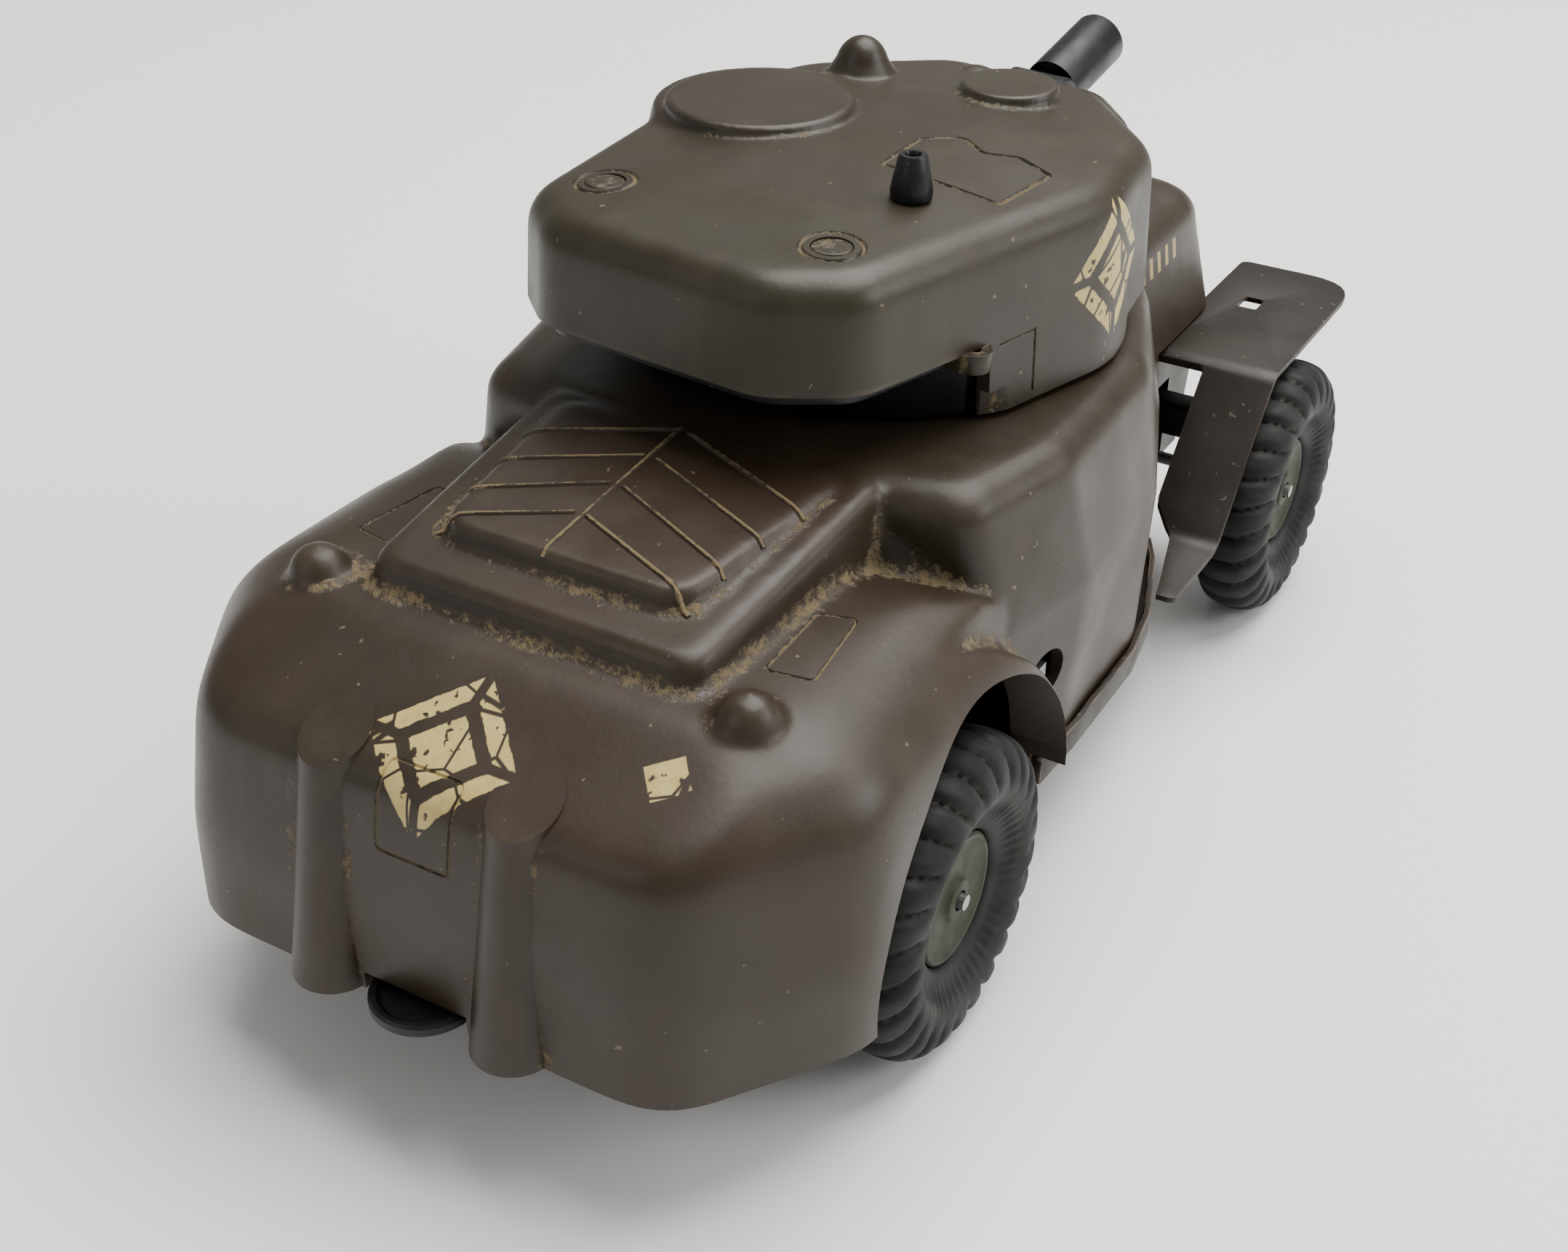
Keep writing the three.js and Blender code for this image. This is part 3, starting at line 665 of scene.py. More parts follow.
def metal(name, dark, light, rust):
    """Dull metal with tarnish or rust in blotches."""
    s = Shader(name)
    colour = s.mix(s.ramp(s.noise(200, 4), 0.35, 0.7), dark, light)
    blotches = s.ramp(s.noise(340, 6, roughness=0.7), 0.52, 0.68)
    colour = s.mix(s.math("MULTIPLY", blotches, 0.6), colour, rust)
    roughness = s.ramp(s.noise(300, 4), 0.3, 0.7, 0.28, 0.5)
    return s.finish(colour, roughness, s.bump(s.noise(900, 3), 0.15, 0.0001), Metallic=0.85)


def in_vehicle(x, y, z):
    return VEHICLE @ Vector((x, y, z))


def in_turret(u, v, z):
    return TURRET @ Vector((u, v, z))


def hull_marks():
    rear = facing((-0.66, 0, 0.75), (0, 0, 1))
    corner = facing((-0.4, -0.25, 0.88), (1, 0, 0))
    nose = facing((0, -1, 0.35), (0, 0, 1))
    return (
        lambda s: diamond_mark(s, in_vehicle(-34.3, -0.3, 44.2), rear, 9.2, True),
        lambda s: diamond_mark(s, in_vehicle(-29.3, -22.6, 46), corner, 2.9, False),
        lambda s: bar_marks(s, in_vehicle(97, -20.6, 52.6), nose),
    )


def turret_marks():
    across = Matrix.Rotation(TURRET_TURN, 3, "Z")
    wall = facing(across @ Vector((0.12, -1, 0.1)), (0, 0, 1))
    return (lambda s: diamond_mark(s, in_turret(4.5, -29, 69.4), wall, 9, True),)


HULL_LOOK = olive_plastic("olive_plastic_hull", linear(48, 36, 26), hull_marks())
TURRET_LOOK = olive_plastic("olive_plastic_turret", linear(42, 38, 24), turret_marks())
TIN = painted_tin("maroon_tin")
BLACK = black_plastic("black_plastic")
RUBBER = tyre_rubber("tyre_rubber")
HUB = hub_plastic("hub_plastic")
STEEL = metal("steel", linear(128, 130, 132), linear(166, 168, 168), linear(96, 74, 56))
SPRING = metal("spring_steel", linear(62, 70, 84), linear(90, 98, 112), linear(60, 50, 44))
BRASS = metal("brass", linear(150, 124, 66), linear(184, 156, 92), linear(94, 80, 48))


def finished(obj, name, placing, look, body, slot, *nodes):
    """Puts a finished mesh in the part's frame, on its body, in place of its CAD nodes."""
    moved(obj, placing)
    obj.name = name
    obj.data.name = name
    obj.data.materials.clear()
    obj.data.materials.append(look)
    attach(obj, body)
    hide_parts(*nodes)
    return obj


# ------------------------------------------------------------------ hull

# Each shape has levels of (height, corners) up to a smaller crown. A corner is along, across and
# radius. Only the left half is given, and both_sides mirrors it.
WALL = 1.5
HULL_BOTTOM = 16.5
TAIL_TOP = 49.4
# The wheel arch: r is the opening in the fender, and front is how far the tail reaches ahead of the wheel.
ARCH = {"x": 2.1, "z": 19.7, "r": 23.1, "front": 29.6, "inner": 33}
# The rear fender's lip, outside y, is cut by a circle of its own.
LIP = {"x": -3, "z": 17, "r": 29.6, "y": 35}
WELL = {"x": 96, "y": 19.4, "top": 39.6}
HOLE = {"x": 27.7, "z": 30, "r": 3.5}
PIVOT_X = 51.5
COLUMN_TILT = math.radians(8.5)
LOUVRE_STARTS = (12.4, 6, -0.4, -7)
SLOPE = math.radians(-25.5)

TAIL_SHAPE = {
    "levels": [
        (16.5, [(38, 33, 3), (35, 40.6, 3), (-23, 41.3, 10), (-41.6, 28.9, 10)]),
        (27, [(36, 33, 3), (33, 41.2, 4), (-22.5, 41.7, 10), (-41.2, 29.2, 10)]),
        (38, [(28, 33, 3), (20, 40.6, 8), (-20.5, 41.1, 10), (-39.6, 28.6, 10)]),
    ],
    "crown": (49.4, [(24, 26, 3), (6, 27, 6), (-14, 27, 8), (-27, 20, 8)]),
}
DECK_SHAPE = {
    "levels": [
        (40, [(15, 22, 2), (-21.8, 20.3, 3.5)]),
        (50.8, [(15, 21.8, 2), (-20.6, 20.1, 3.5)]),
    ],
    "crown": (52.6, [(14, 19.9, 2), (-18.8, 18.3, 3)]),
    "raise": 0.132,
    "raise_from": -20.3,
}
LOUVRE_SHAPE = {
    "levels": [
        (48, [(13.5, 18.6, 3), (-15.6, 15.6, 5)]),
        (54.8, [(13.2, 18.2, 3), (-14.8, 15, 5)]),
    ],
    "crown": (55.8, [(12.4, 17.2, 2.5), (-13.8, 14, 4)]),
    "raise": 0.055,
    "raise_from": -14.8,
}
SPONSON_SHAPE = {
    "levels": [
        (16.5, [(92, 21, 5), (80.5, 28, 8), (58, 36, 14), (34, 36.2, 10), (24, 34, 4), (14, 19, 3)]),
        (40, [(92, 21, 6), (81, 28.3, 8), (57, 37.3, 14), (34, 38.4, 10), (17, 35, 5), (9, 19, 3)]),
        (53, [(90, 20, 6), (79.5, 26, 8), (58, 35, 14), (32, 36, 8), (15, 32, 5), (12, 18, 3)]),
    ],
    "crown": (57.2, [(86, 16, 5), (75, 22.6, 7), (57, 31.2, 12), (32, 31.4, 7), (19, 28, 4), (16, 16, 3)]),
}
NOSE_SHAPE = {
    "levels": [
        (16.5, [(118, 21.6, 10), (86, 22, 3)]),
        (36, [(123.5, 22.6, 10), (86, 22.8, 3)]),
        (53, [(118.5, 19.8, 9), (86, 20.6, 3)]),
    ],
    "crown": (57.6, [(113, 15.2, 6), (86, 16.4, 3)]),
}


def upper_blocks(thin):
    """The hull's blocks above the tail. The sponsons and the nose reach down past the hull's foot."""
    low = [moulded(shape, thin, 8) for shape in (SPONSON_SHAPE, NOSE_SHAPE)]
    return low + [moulded(shape, thin) for shape in (DECK_SHAPE, LOUVRE_SHAPE)]


def slope_block(thin):
    slope = box(-60, 0, -60, 60, 0, 25)
    return moved(slope, Matrix.Translation((-23.5, 0, TAIL_TOP - thin)) @ Matrix.Rotation(SLOPE, 4, "Y"))


def tail(thin):
    """The softly rounded tail, with its fenders ending around the wheel arches."""
    body = cut(moulded(TAIL_SHAPE, thin, 12), slope_block(thin))
    remesh(body, 1.0, 22)
    front = rod(ARCH["x"], ARCH["z"], -70, 70, ARCH["front"] - thin)
    ahead = cut(box(ARCH["x"], 60, -60, 60, -10, 70), front)
    cut(body, ahead)
    for side in (-1, 1):
        outer = box(LIP["x"] - thin, 60, *span(side, LIP["y"] - thin, 60), -10, 70)
        cut(body, cut(outer, rod(LIP["x"], LIP["z"], -70, 70, LIP["r"] - thin)))
    return remesh(body, 0.8, 8)


def fender_tips():
    """What is cut away under the pointed front end of each rear fender."""
    return [box(14, 27.5, *span(side, LIP["y"], 60), -10, 20.8) for side in (1, -1)]


def rear_column(side):
    profile = [(0, -4), (4.65, -4), (3.6, 32), (0, 32)]
    foot = Matrix.Translation((-40.1, 11.3 * side, HULL_BOTTOM))
    tilt = Matrix.Rotation(COLUMN_TILT, 4, "Y")
    return cut(moved(lathe(profile, 48), foot @ tilt), slope_block(-0.25))


def wells(thin):
    x, y, top = WELL["x"] - thin, WELL["y"] - thin, WELL["top"] + thin
    return [box(x, 140, *span(side, y, 60), -20, top) for side in (1, -1)]


def hull_surface(columns):
    """The hull's outside as one smooth shell, with the rear columns blended in when asked."""
    body = tail(0)
    parts = [rear_column(side) for side in (-1, 1)] if columns else []
    parts += [ball(-20.6, 26 * side, 48.7, 3.4) for side in (-1, 1)]
    parts += upper_blocks(0)
    return remesh(add(body, *parts), 0.62, 5)


def hull_lines(tree):
    """Engraved outlines on the rear fenders and the rear panel."""
    lines = []
    for side in (-1, 1):
        outline = [(-13, 23.2), (-1.5, 22.6), (0, 26.6), (-12, 28.2)]
        points = rounded([(x, y * side, 0.9) for x, y in outline], 4)
        lines.append(strip_on(tree, [(x, y, 70) for x, y in points], FINE_GROOVE, True))
    panel = rounded([(-4.6, 34.6, 0.8), (4.2, 34.6, 0.8), (4.2, 43.2, 0.8), (-4.6, 43.2, 0.8)], 4)
    ahead = Vector((1, 0, 0))
    lines.append(strip_on(tree, [(-60, y, z) for y, z in panel], FINE_GROOVE, True, ahead))
    return lines


def louvre_ridges(tree):
    """A spine along the engine cover, with slanting slats on both sides."""
    spine = 2.2
    ridges = [strip_on(tree, [(13, spine + 0.6, 70), (-14.6, spine - 0.6, 70)], RIDGE)]
    for side in (-1, 1):
        for start in LOUVRE_STARTS:
            end = start - 8.2
            edge = 15.2 + 0.115 * (max(end, -14) + 14.8)
            if start == LOUVRE_STARTS[0]:
                edge += 0.3
            tip = (max(end, -14.2), edge * side, 70)
            ridges.append(strip_on(tree, [(start, spine + 0.8 * side, 70), tip], RIDGE))
    return ridges


def build_hull():
    blended = hull_surface(True)
    relief = Relief(blended, 16)
    discard(blended)
    body = add(hull_surface(False), *[rear_column(side) for side in (-1, 1)])
    plain = tree_of(body)
    inside = add(tail(WALL), *upper_blocks(WALL))
    cut(inside, *wells(WALL))
    cut(body, inside, box(-80, 160, -80, 80, -30, HULL_BOTTOM), *wells(0))
    for side in (-1, 1):
        cut(body, rod(ARCH["x"], ARCH["z"], *span(side, ARCH["inner"], 60), ARCH["r"]))
    winding_hole = rod(HOLE["x"], HOLE["z"], -50, -25, HOLE["r"])
    pivot_hole = post(PIVOT_X, 0, 50, 60, 4.5)
    axle_slot = box(WHEELBASE - 4, WHEELBASE + 4, -40, 40, -20, 29.5)
    tongue_slot = box(-50, -30, -6.4, 6.4, -20, 18.6)
    vision_slots = [box(110, 130, y, y + 7, 49, 51.5) for y in (-12, 5)]
    cut(body, winding_hole, pivot_hole, axle_slot, tongue_slot, *vision_slots)
    cut(body, *fender_tips(), *hull_lines(plain))
    merge(body, louvre_ridges(plain))
    relief.paint(body, plain)
    shade(body, 40)
    finished(body, "hull_skin", VEHICLE, HULL_LOOK, "hull", "olive_plastic", "hull_shell")


# ------------------------------------------------------------------ turret

TURRET_SHAPE = {
    "levels": [
        (58, [(35.5, 11.5, 6), (22, 26.5, 10), (4, 31.2, 18), (-37, 23.6, 8), (-43.6, 15, 8)]),
        (75, [(35, 11, 6), (21.5, 25.6, 10), (4, 30.4, 18), (-36.2, 22.8, 8), (-42.6, 14.5, 8)]),
    ],
    "crown": (79.2, [(30.8, 9.5, 5), (19, 21.8, 9), (3, 26.4, 16), (-33, 19.2, 6), (-38.6, 12.6, 6)]),
    "dome": 1.4,
}
CHEEK_SHAPE = {
    "levels": [
        (61, [(44, 7.5, 5), (37, 15, 5), (22, 21, 3)]),
        (72, [(43.8, 7.5, 5), (36.6, 14.8, 5), (22, 20.8, 3)]),
    ],
    "crown": (76, [(40, 6, 4), (34, 12, 4), (22, 17.4, 3)]),
}
SKIRT_Z = 58
# The bustle overhangs the engine deck behind this place.
BUSTLE_X = -17
BUSTLE_Z = 66.7
# Each hatch: place along and across the turret, foot, top and radius.
HATCH = (-2, 15.6, 76, 81.6, 11.4)
SMALL_HATCH = (22.2, -4.6, 76, 81.3, 6.1)
DOME = (18.2, 14.6)
PLUG = (-31, 15.2)
ANTENNA = (-15.4, -14.7)


def disc(u, v, z0, z1, r, edge):
    """A low round cover with a rounded edge."""
    profile = [(0, z0), (r, z0), (r, z1 - edge)]
    for t in np.linspace(0.2, 1, 5) * math.pi / 2:
        profile.append((r - edge * (1 - math.cos(t)), z1 - edge + edge * math.sin(t)))
    profile.append((0, z1))
    return moved(lathe(profile, 72), Matrix.Translation((u, v, 0)))


def turret_surface():
    body = moulded(TURRET_SHAPE, 0, 4)
    rise = lathe([(0, 73), (15.2, 73), (13.4, 80.4), (0, 80.4)], 72)
    swelling = moved(rise, Matrix.Translation((0.4, 16.6, 0)))
    add(body, moulded(CHEEK_SHAPE), swelling, disc(29.3, 4.5, 77, 79.9, 1.8, 0.8))
    remesh(body, 0.5, 9)
    foot = [(0, 78), (4.6, 79.6), (3.4, 81.4), (0, 81.4)]
    dome = moved(lathe(foot, 48), Matrix.Translation((*DOME, 0)))
    add(body, disc(*HATCH, 0.7), disc(*SMALL_HATCH, 0.6), dome, ball(*DOME, 80.2, 3.5, 1.2))
    return remesh(body, 0.4, 1)


def turret_lines(tree):
    """The engraved plate on the roof and the panel on the right wall."""
    plate = [
        (-9.6, -7.0, 0.6),
        (0.1, -5.9, 1.2),
        (3.7, -9.6, 1.2),
        (1.0, -13.7, 1.5),
        (3.0, -17.3, 1.5),
        (1.1, -22.5, 0.6),
        (-9.7, -22.4, 0.6),
    ]
    lines = [strip_on(tree, [(u, v, 95) for u, v in rounded(plate, 4)], GROOVE, True)]
    for side in (-1, 1):
        ring = circle(PLUG[0], PLUG[1] * side, 3.35, 24)
        lines.append(strip_on(tree, [(u, v, 95) for u, v in ring], GROOVE, True))
    sideways = Vector((0, 1, 0))
    door = [(-15.6, -50, 66.2), (-9.8, -50, 66.4), (-9.8, -50, 59)]
    lines.append(strip_on(tree, door, FINE_GROOVE, False, sideways))
    return lines


def build_turret():
    body = turret_surface()
    relief = Relief(body, 14)
    plain = tree_of(body)
    low_front = cut(box(-60, 60, -60, 60, 40, 61), post(0, 0, 30, 62, 31, 96))
    inside = add(moulded(TURRET_SHAPE, WALL, 4), moulded(CHEEK_SHAPE, WALL))
    walls_of_recess = box(32.8, 60, -6.2, 8.2, 66.8, 90)
    cut(inside, walls_of_recess)
    cut(body, inside)
    under_bustle = box(-60, BUSTLE_X, -60, 60, 40, BUSTLE_Z)
    below = box(-60, 60, -60, 60, 40, SKIRT_Z)
    cut(body, under_bustle, low_front, below)
    gun_recess = box(34.3, 60, -4.6, 6.6, 68.3, 90)
    cut(body, gun_recess)
    for side in (-1, 1):
        cut(body, post(PLUG[0], PLUG[1] * side, 70, 90, 2.3))
    cut(body, post(*ANTENNA, 70, 90, 1.5))
    cut(body, *turret_lines(plain))
    merge(body, [turret_lug()])
    relief.paint(body, plain, 0.9)
    rim_wear(body)
    shade(body, 40)
    finished(body, "turret_skin", TURRET, TURRET_LOOK, "turret", "olive_plastic", "turret_shell")


def turret_lug():
    """A drilled tab that stands out from the foot of the right wall."""
    tip = [(-19.5 + 2 * math.cos(t), -26.4 + 1.8 * math.sin(t)) for t in np.linspace(0, -math.pi, 13)]
    body = prism([(-17.5, -23.6), *tip, (-21.5, -23.6)], 64.7, 66.9, upright)
    cut(body, post(-19.5, -26.3, 60, 70, 0.7, 24))
    return bevel(body, 0.25)


def rim_wear(body):
    """Full wear along the turret's lower rim."""
    layer = body.data.attributes["wear"]
    for vertex, cell in zip(body.data.vertices, layer.data):
        skirt = vertex.co.z < SKIRT_Z + 0.5
        bustle = vertex.co.x < BUSTLE_X + 0.5 and abs(vertex.co.z - BUSTLE_Z) < 0.5
        if skirt or bustle:
            cell.value = 1.0


# ------------------------------------------------------------------ turret fittings


def build_fittings():
    hole = [(0.75, 84.5), (0.75, 82.4), (0, 82.4)]
    stem = [(0, 77), (1.2, 77), (1.2, 80), (2.3, 80.1)]
    cone = [(2.36, 81), (1.6, 84.7), (1.45, 84.9), (0.95, 84.9)]
    body = moved(lathe(stem + cone + hole, 40), Matrix.Translation((*ANTENNA, 0)))
    shade(body)
    finished(body, "antenna_socket", TURRET, BLACK, "turret", "black_plastic", "antenna_base")
    for hand, side in (("left", 1), ("right", -1)):
        plug = disc(PLUG[0], PLUG[1] * side, 76.4, 79.5, 2.24, 0.25)
        shade(plug)
        values = [0.25] * len(plug.data.vertices)
        weather(plug, values, values)
        name = f"roof_plug_{hand}"
        finished(plug, f"{name}_cap", TURRET, TURRET_LOOK, "turret", "olive_plastic", name)


def build_gun():
    """Barrel with a rounded muzzle, on a drum-shaped mount."""
    r, start, end, bore = 3.75, 4.0, 17.0, 2.3
    profile = [(0, start), (r, start), (r, end - 0.4), (r - 0.12, end - 0.12), (r - 0.4, end)]
    profile += [(bore + 0.25, end), (bore, end - 0.25), (bore, end - 5), (0, end - 5)]
    barrel = moved(lathe(profile, 64), Matrix.Rotation(math.pi / 2, 4, "Y"))
    shade(barrel)
    finished(barrel, "gun_tube", GUN, BLACK, "gun", "black_plastic", "gun_barrel")
    half = 4.2
    rounds = [(0, -half), (3.6, -half), (3.9, -half + 0.3), (3.9, half - 0.3), (3.6, half), (0, half)]
    drum = moved(lathe(rounds, 64), Matrix.Rotation(math.pi / 2, 4, "X"))
    shade(drum)
    finished(drum, "gun_mount", GUN, BLACK, "gun", "black_plastic", "gun_mantlet")


# ------------------------------------------------------------------ wheels

LUGS = 26
TYRE_SIDES = LUGS * 10
TYRE_PROFILE = [
    (7.9, 0.6),
    (7.95, 2.5),
    (9.6, 3.3),
    (11.4, 4.35),
    (12.8, 4.9),
    (14.2, 5.0),
    (15.6, 4.75),
    (16.9, 4.05),
    (17.9, 2.9),
    (18.35, 1.5),
    (18.5, 0),
]


def smooth_profile(points, steps=4):
    """Catmull-Rom curve through the points."""
    ends = [points[0], *points, points[-1]]
    smooth = []
    for a, b, c, d in zip(ends, ends[1:], ends[2:], ends[3:]):
        a, b, c, d = (np.array(p) for p in (a, b, c, d))
        for t in np.arange(steps) / steps:
            square = (2 * a - 5 * b + 4 * c - d) * t * t
            cube = (3 * b - a - 3 * c + d) * t**3
            smooth.append(0.5 * (2 * b + (c - a) * t + square + cube))
    smooth.append(np.array(points[-1]))
    return np.array(smooth)


def tyre_mesh():
    half = smooth_profile(TYRE_PROFILE)
    profile = np.concatenate([half, half[-2::-1] * (1, -1)])
    slope = np.gradient(profile, axis=0)
    normal = np.stack([-slope[:, 1], slope[:, 0]], axis=1)
    normal /= np.linalg.norm(normal, axis=1)[:, None]
    vertices = []
    dust = []
    wear = []
    for i in range(TYRE_SIDES):
        angle = 2 * math.pi * i / TYRE_SIDES
        for (r, w), (nr, nw) in zip(profile, normal):
            swirl = 0.075 * (w / 5) ** 2 + 0.05 * max(0, 16 - r) / 3
            pillow = abs(math.sin(LUGS / 2 * (angle + swirl)))
            groove = (1 - pillow) ** 2.2
            reach = min(max((r - 12.4) / 2.4, 0), 1)
            ribs = 0.12 * math.cos(2 * LUGS * angle) * math.exp(-(((r - 10.6) / 0.9) ** 2))
            shift = -0.95 * groove * reach * reach - ribs
            rr, ww = r + nr * shift, w + nw * shift
            vertices.append((rr * math.cos(angle), ww, rr * math.sin(angle)))
            dust.append(min(1, groove * reach * 1.3 + (0.5 if abs(r - 12) < 0.8 else 0)))
            wear.append(pillow**6 * reach)
    k = len(profile)
    faces = []
    for i in range(TYRE_SIDES):
        a, b = i * k, (i + 1) % TYRE_SIDES * k
        faces += [(a + j, a + j + 1, b + j + 1, b + j) for j in range(k - 1)]
        faces.append((a + k - 1, a, b, b + k - 1))
    tyre = outward(make("tyre", vertices, faces))
    weather(tyre, dust, wear)
    return shade(tyre, 60)


def hub_mesh():
    """Shallow dished hub with a raised rim and a small centre boss, outer face towards +Z."""
    rim = [(7.6, 0.8), (7.6, 2.35), (7.35, 2.6), (6.9, 2.6)]
    dish = [(6.5, 2.3), (5.2, 1.95), (3.2, 2.0), (2.6, 2.3)]
    boss = [(2.3, 2.75), (1.9, 2.9), (1.2, 2.9), (1.2, -3.6), (3.2, -3.6), (3.6, 0.4)]
    return shade(lathe(rim + dish + boss, 72, closed=True), 30)


def build_wheels():
    for end, x in (("rear", 0), ("front", WHEELBASE)):
        for hand, side in (("left", 1), ("right", -1)):
            low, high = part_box(f"{end}_tyre_{hand}")
            y = (low.y + high.y) / 2 / MM
            place = Matrix.Translation((x, y, AXLE_Z))
            mirror = Matrix.Scale(side, 4, (0, 1, 0))
            tyre = tyre_mesh()
            moved(tyre, place @ mirror)
            hub = moved(hub_mesh(), place @ Matrix.Rotation(-side * math.pi / 2, 4, "X"))
            if side < 0:
                tyre.data.flip_normals()
            body = f"{end}_wheels"
            name = f"{end}_tyre_{hand}"
            finished(tyre, f"{name}_tread", VEHICLE, RUBBER, body, "tyre_rubber", name)
            name = f"{end}_hub_{hand}"
            finished(hub, f"{name}_disc", VEHICLE, HUB, body, "hub_plastic", name)


# ------------------------------------------------------------------ fenders and tongue

SHEET = 0.8
SHEET_EDGE = 0.18
# The bent line of the sheet from the side: along, up, and how far the bend reaches.
FENDER_PROFILE = [(136, 39.2, 0), (99, 39.2, 1.6), (82.5, 20.2, 1.4), (67, 20.2, 0)]
# The sheet's outline from above: along, across, and the radius of each corner.
FENDER_PLAN = [
    (67, 35.6, 0),
    (70, 34.9, 1),
    (82.5, 31.6, 2),
    (85.5, 28.2, 0.8),
    (98.5, 28.2, 0.5),
    (98.5, 20.4, 0.3),
    (136, 20.4, 1.5),
    (136, 38.2, 7.5),
    (67, 38.2, 1.5),
]


def offset_profile(distance):
    """The fender's bent line with rounded bends, moved down by this distance."""
    points = []
    for i, (x, z, reach) in enumerate(FENDER_PROFILE):
        if reach == 0:
            points.append(np.array((x, z - distance)))
            continue
        corner = np.array((x, z), float)
        before = np.array(FENDER_PROFILE[i - 1][:2]) - corner
        after = np.array(FENDER_PROFILE[i + 1][:2]) - corner
        before /= np.linalg.norm(before)
        after /= np.linalg.norm(after)
        start = corner + before * reach
        end = corner + after * reach
        for t in np.linspace(0, 1, 7):
            tangent = after * t - before * (1 - t)
            tangent /= np.linalg.norm(tangent)
            points.append(curve(start, corner, end, t) + distance * np.array((-tangent[1], tangent[0])))
    return points


def build_fenders():
    for hand, side in (("left", 1), ("right", -1)):
        outline = offset_profile(0) + offset_profile(SHEET)[::-1]
        body = prism([tuple(p) for p in outline], 19, 40, along_y)
        plan = [tuple(p) for p in rounded([(x, y, max(r, 0.2)) for x, y, r in FENDER_PLAN], 6)]
        common(body, prism(plan, 0, 60, upright))
        slot = rounded([(119, 25.3, 0.5), (123, 25.3, 0.5), (123, 28.3, 0.5), (119, 28.3, 0.5)], 4)
        cut(body, prism([tuple(p) for p in slot], 30, 50, upright))
        bevel(body, SHEET_EDGE)
        if side < 0:
            moved(body, Matrix.Scale(-1, 4, (0, 1, 0)))
            body.data.flip_normals()
        wear_at_edges(body, SHEET_EDGE)
        shade(body)
        name = f"front_fender_{hand}"
        finished(body, f"{name}_sheet", VEHICLE, TIN, "hull", "maroon_tin", name)


def wear_at_edges(obj, width):
    """Wear on the narrow faces that a bevel of this width left, and none on the rest."""
    mesh = obj.data
    values = []
    for face in mesh.polygons:
        corners = [mesh.vertices[i].co for i in face.vertices]
        around = sum((a - b).length for a, b in zip(corners, corners[1:] + corners[:1]))
        values.append(1.0 if face.area < around * width * 0.6 else 0.0)
    mesh.attributes.new("wear", "FLOAT", "FACE").data.foreach_set("value", values)


def build_tongue():
    """Shallow dish with a raised rim, rounded at the rear."""
    def outline(shrink):
        length = 6 - shrink
        half = 5.8 - shrink
        angles = np.linspace(0, math.pi, 25)
        arc = [(-39.5 - length * math.sin(t), half * math.cos(t)) for t in angles]
        return [(-30, half), *arc, (-30, -half)]

    rings = [(0.35, 16.7), (0, 17.05), (0, 17.9), (0.3, 18.2), (0.8, 18.2), (1.3, 17.75), (3.4, 17.6)]
    vertices = [(x, y, z) for shrink, z in rings for x, y in outline(shrink)]
    body = shade(outward(make("tongue", vertices, stacked(len(outline(0)), len(rings)))))
    finished(body, "tow_tongue_dish", VEHICLE, BLACK, "hull", "black_plastic", "rear_tow_tongue")


# ------------------------------------------------------------------ pieces whose CAD shape is right


def rounded_copy(node, look, body, slot, width):
    """The CAD node's own shape with its edges rounded off."""
    bm = bmesh.new()
    bm.from_mesh(frame["nodes"][node].data)
    bmesh.ops.remove_doubles(bm, verts=bm.verts, dist=2e-6)
    bmesh.ops.dissolve_limit(bm, angle_limit=math.radians(1), verts=bm.verts, edges=bm.edges)
    mesh = bpy.data.meshes.new(node)
    bm.to_mesh(mesh)
    bm.free()
    if "custom_normal" in mesh.attributes:
        mesh.attributes.remove(mesh.attributes["custom_normal"])
    obj = bpy.data.objects.new(node, mesh)
    bpy.context.collection.objects.link(obj)
    bevel(obj, width * MM)
    wear_at_edges(obj, width * MM)
    shade(obj)
    return finished(obj, f"{node}_rounded", Matrix.Identity(4), look, body, slot, node)


def build_drum_as_painted_shade():
    """The drum under the turret, with its wall carried on behind the skirt. Its black colour is painted
    shade that stands in for the shadow under the bustle.
    """
    # Black here is painted shade: it darkens the drum where the bustle's shadow falls.
    drum = rounded_copy("turret_base", BLACK, "turret", "black_plastic", 0.2)
    # This black wall fills the band under the bustle with painted shade.
    wall = lathe([(27.6, 58.2), (28.9, 58.2), (28.9, 66.2), (27.6, 66.2)], 96, closed=True)
    merge(drum, [moved(wall, TURRET)])


def build_plates():
    rounded_copy("base_plate", TIN, "hull", "maroon_tin", 0.15)
    rounded_copy("front_axle_bracket", BLACK, "hull", "black_plastic", 0.3)
    build_drum_as_painted_shade()
    for hand in ("left", "right"):
        rounded_copy(f"motor_plate_{hand}", STEEL, "hull", "steel", 0.12)


CARRIED_OVER = {
    "rear_axle": STEEL,
    "front_axle": STEEL,
    "motor_pillar_front": STEEL,
    "motor_pillar_rear": STEEL,
    "motor_pillar_top": STEEL,
    "mainspring": SPRING,
    "drive_pinion": BRASS,
    "winding_arbor": STEEL,
    "ratchet_wheel": BRASS,
    "turret_pivot": BLACK,
    "turret_retainer": STEEL,
    "gun_trunnion_pin": STEEL,
}


def finish_carried_over():
    for node, look in CARRIED_OVER.items():
        for slot in frame["nodes"][node].material_slots:
            slot.material = look


# ------------------------------------------------------------------ stage, lights and camera


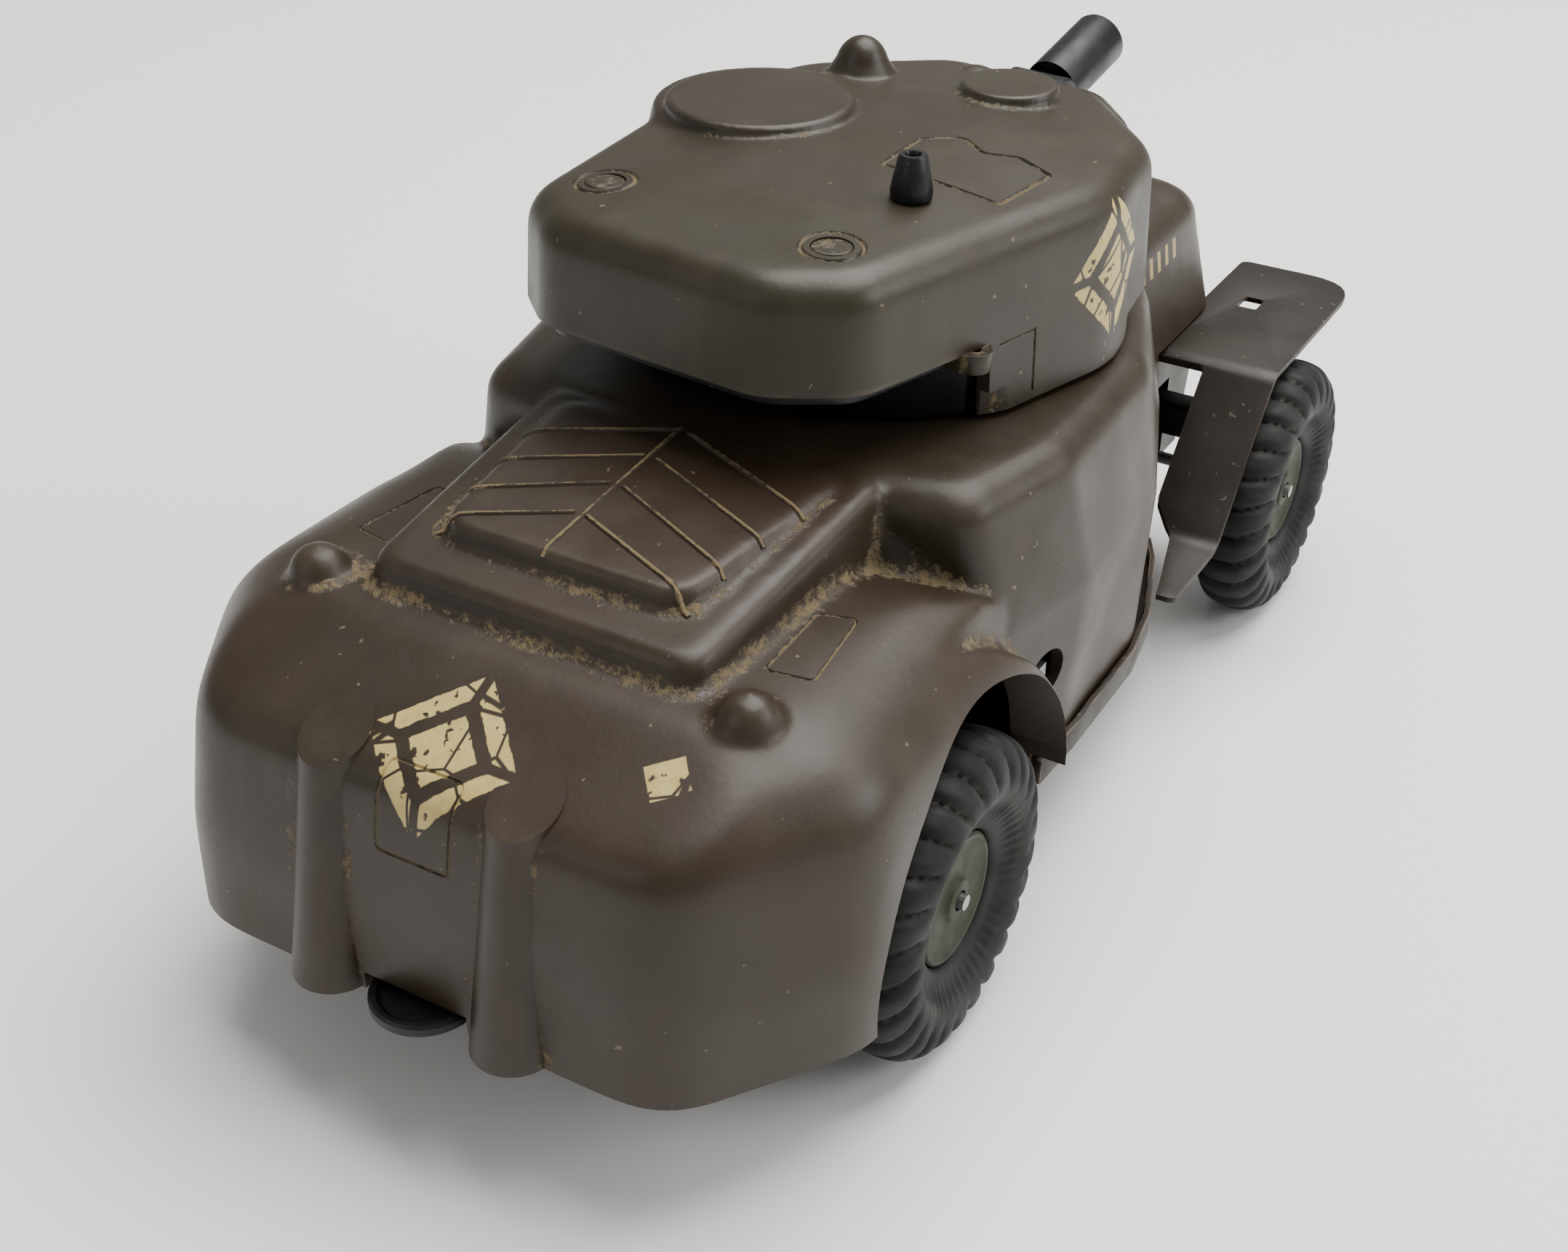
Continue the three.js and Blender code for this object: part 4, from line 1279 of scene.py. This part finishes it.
def build_stage():
    s = Shader("floor")
    colour = s.mix(s.noise(3, 2), linear(232, 233, 232), linear(240, 240, 239))
    look = s.finish(colour, 0.7)
    corners = [(-2, -2, 0), (2, -2, 0), (2, 2, 0), (-2, 2, 0)]
    floor = make("floor", corners, [(0, 1, 2, 3)])
    floor.data.materials.append(look)
    world = bpy.data.worlds.new("studio")
    world.use_nodes = True
    world.node_tree.nodes["Background"].inputs["Color"].default_value = (1.0, 0.985, 0.95, 1)
    world.node_tree.nodes["Background"].inputs["Strength"].default_value = 0.4
    bpy.context.scene.world = world


def area_light(name, place, size, power, tint=(1, 1, 1)):
    light = bpy.data.lights.new(name, "AREA")
    light.shape = "RECTANGLE"
    light.size, light.size_y = size
    light.energy = power
    light.color = tint
    lamp = bpy.data.objects.new(name, light)
    lamp.location = place
    lamp.rotation_euler = (Vector((0, 0, 0.04)) - Vector(place)).to_track_quat("-Z", "Y").to_euler()
    bpy.context.collection.objects.link(lamp)


def build_lights():
    area_light("ceiling", (0.3, -0.1, 0.95), (0.9, 0.9), 22, (1, 0.985, 0.955))
    area_light("window", (0.3, -0.85, 0.5), (0.5, 0.5), 5)
    area_light("rear_fill", (-0.8, 0.35, 0.5), (0.5, 0.5), 1)


def build_camera():
    data = bpy.data.cameras.new("camera")
    data.sensor_fit = "HORIZONTAL"
    data.sensor_width = 36
    data.lens = 47.33
    data.clip_start = 0.01
    # The photograph's viewing angle: direction, roll and place, the place in the vehicle's frame.
    forward = Vector((0.7344, 0.4164, -0.5360)).normalized()
    level = forward.cross(Vector((0, 0, 1))).normalized()
    up = level.cross(forward)
    roll = math.radians(-1.104)
    x = math.cos(roll) * level - math.sin(roll) * up
    y = math.sin(roll) * level + math.cos(roll) * up
    turn = Matrix((x, y, -forward)).transposed().to_4x4()
    camera = bpy.data.objects.new("camera", data)
    camera.matrix_world = Matrix.Translation(VEHICLE @ Vector((-156.7, -106.8, 160.0))) @ turn
    bpy.context.collection.objects.link(camera)
    bpy.context.scene.camera = camera


build_stage()
build_lights()
build_camera()
build_hull()
build_turret()
build_fittings()
build_gun()
build_wheels()
build_fenders()
build_tongue()
build_plates()
finish_carried_over()
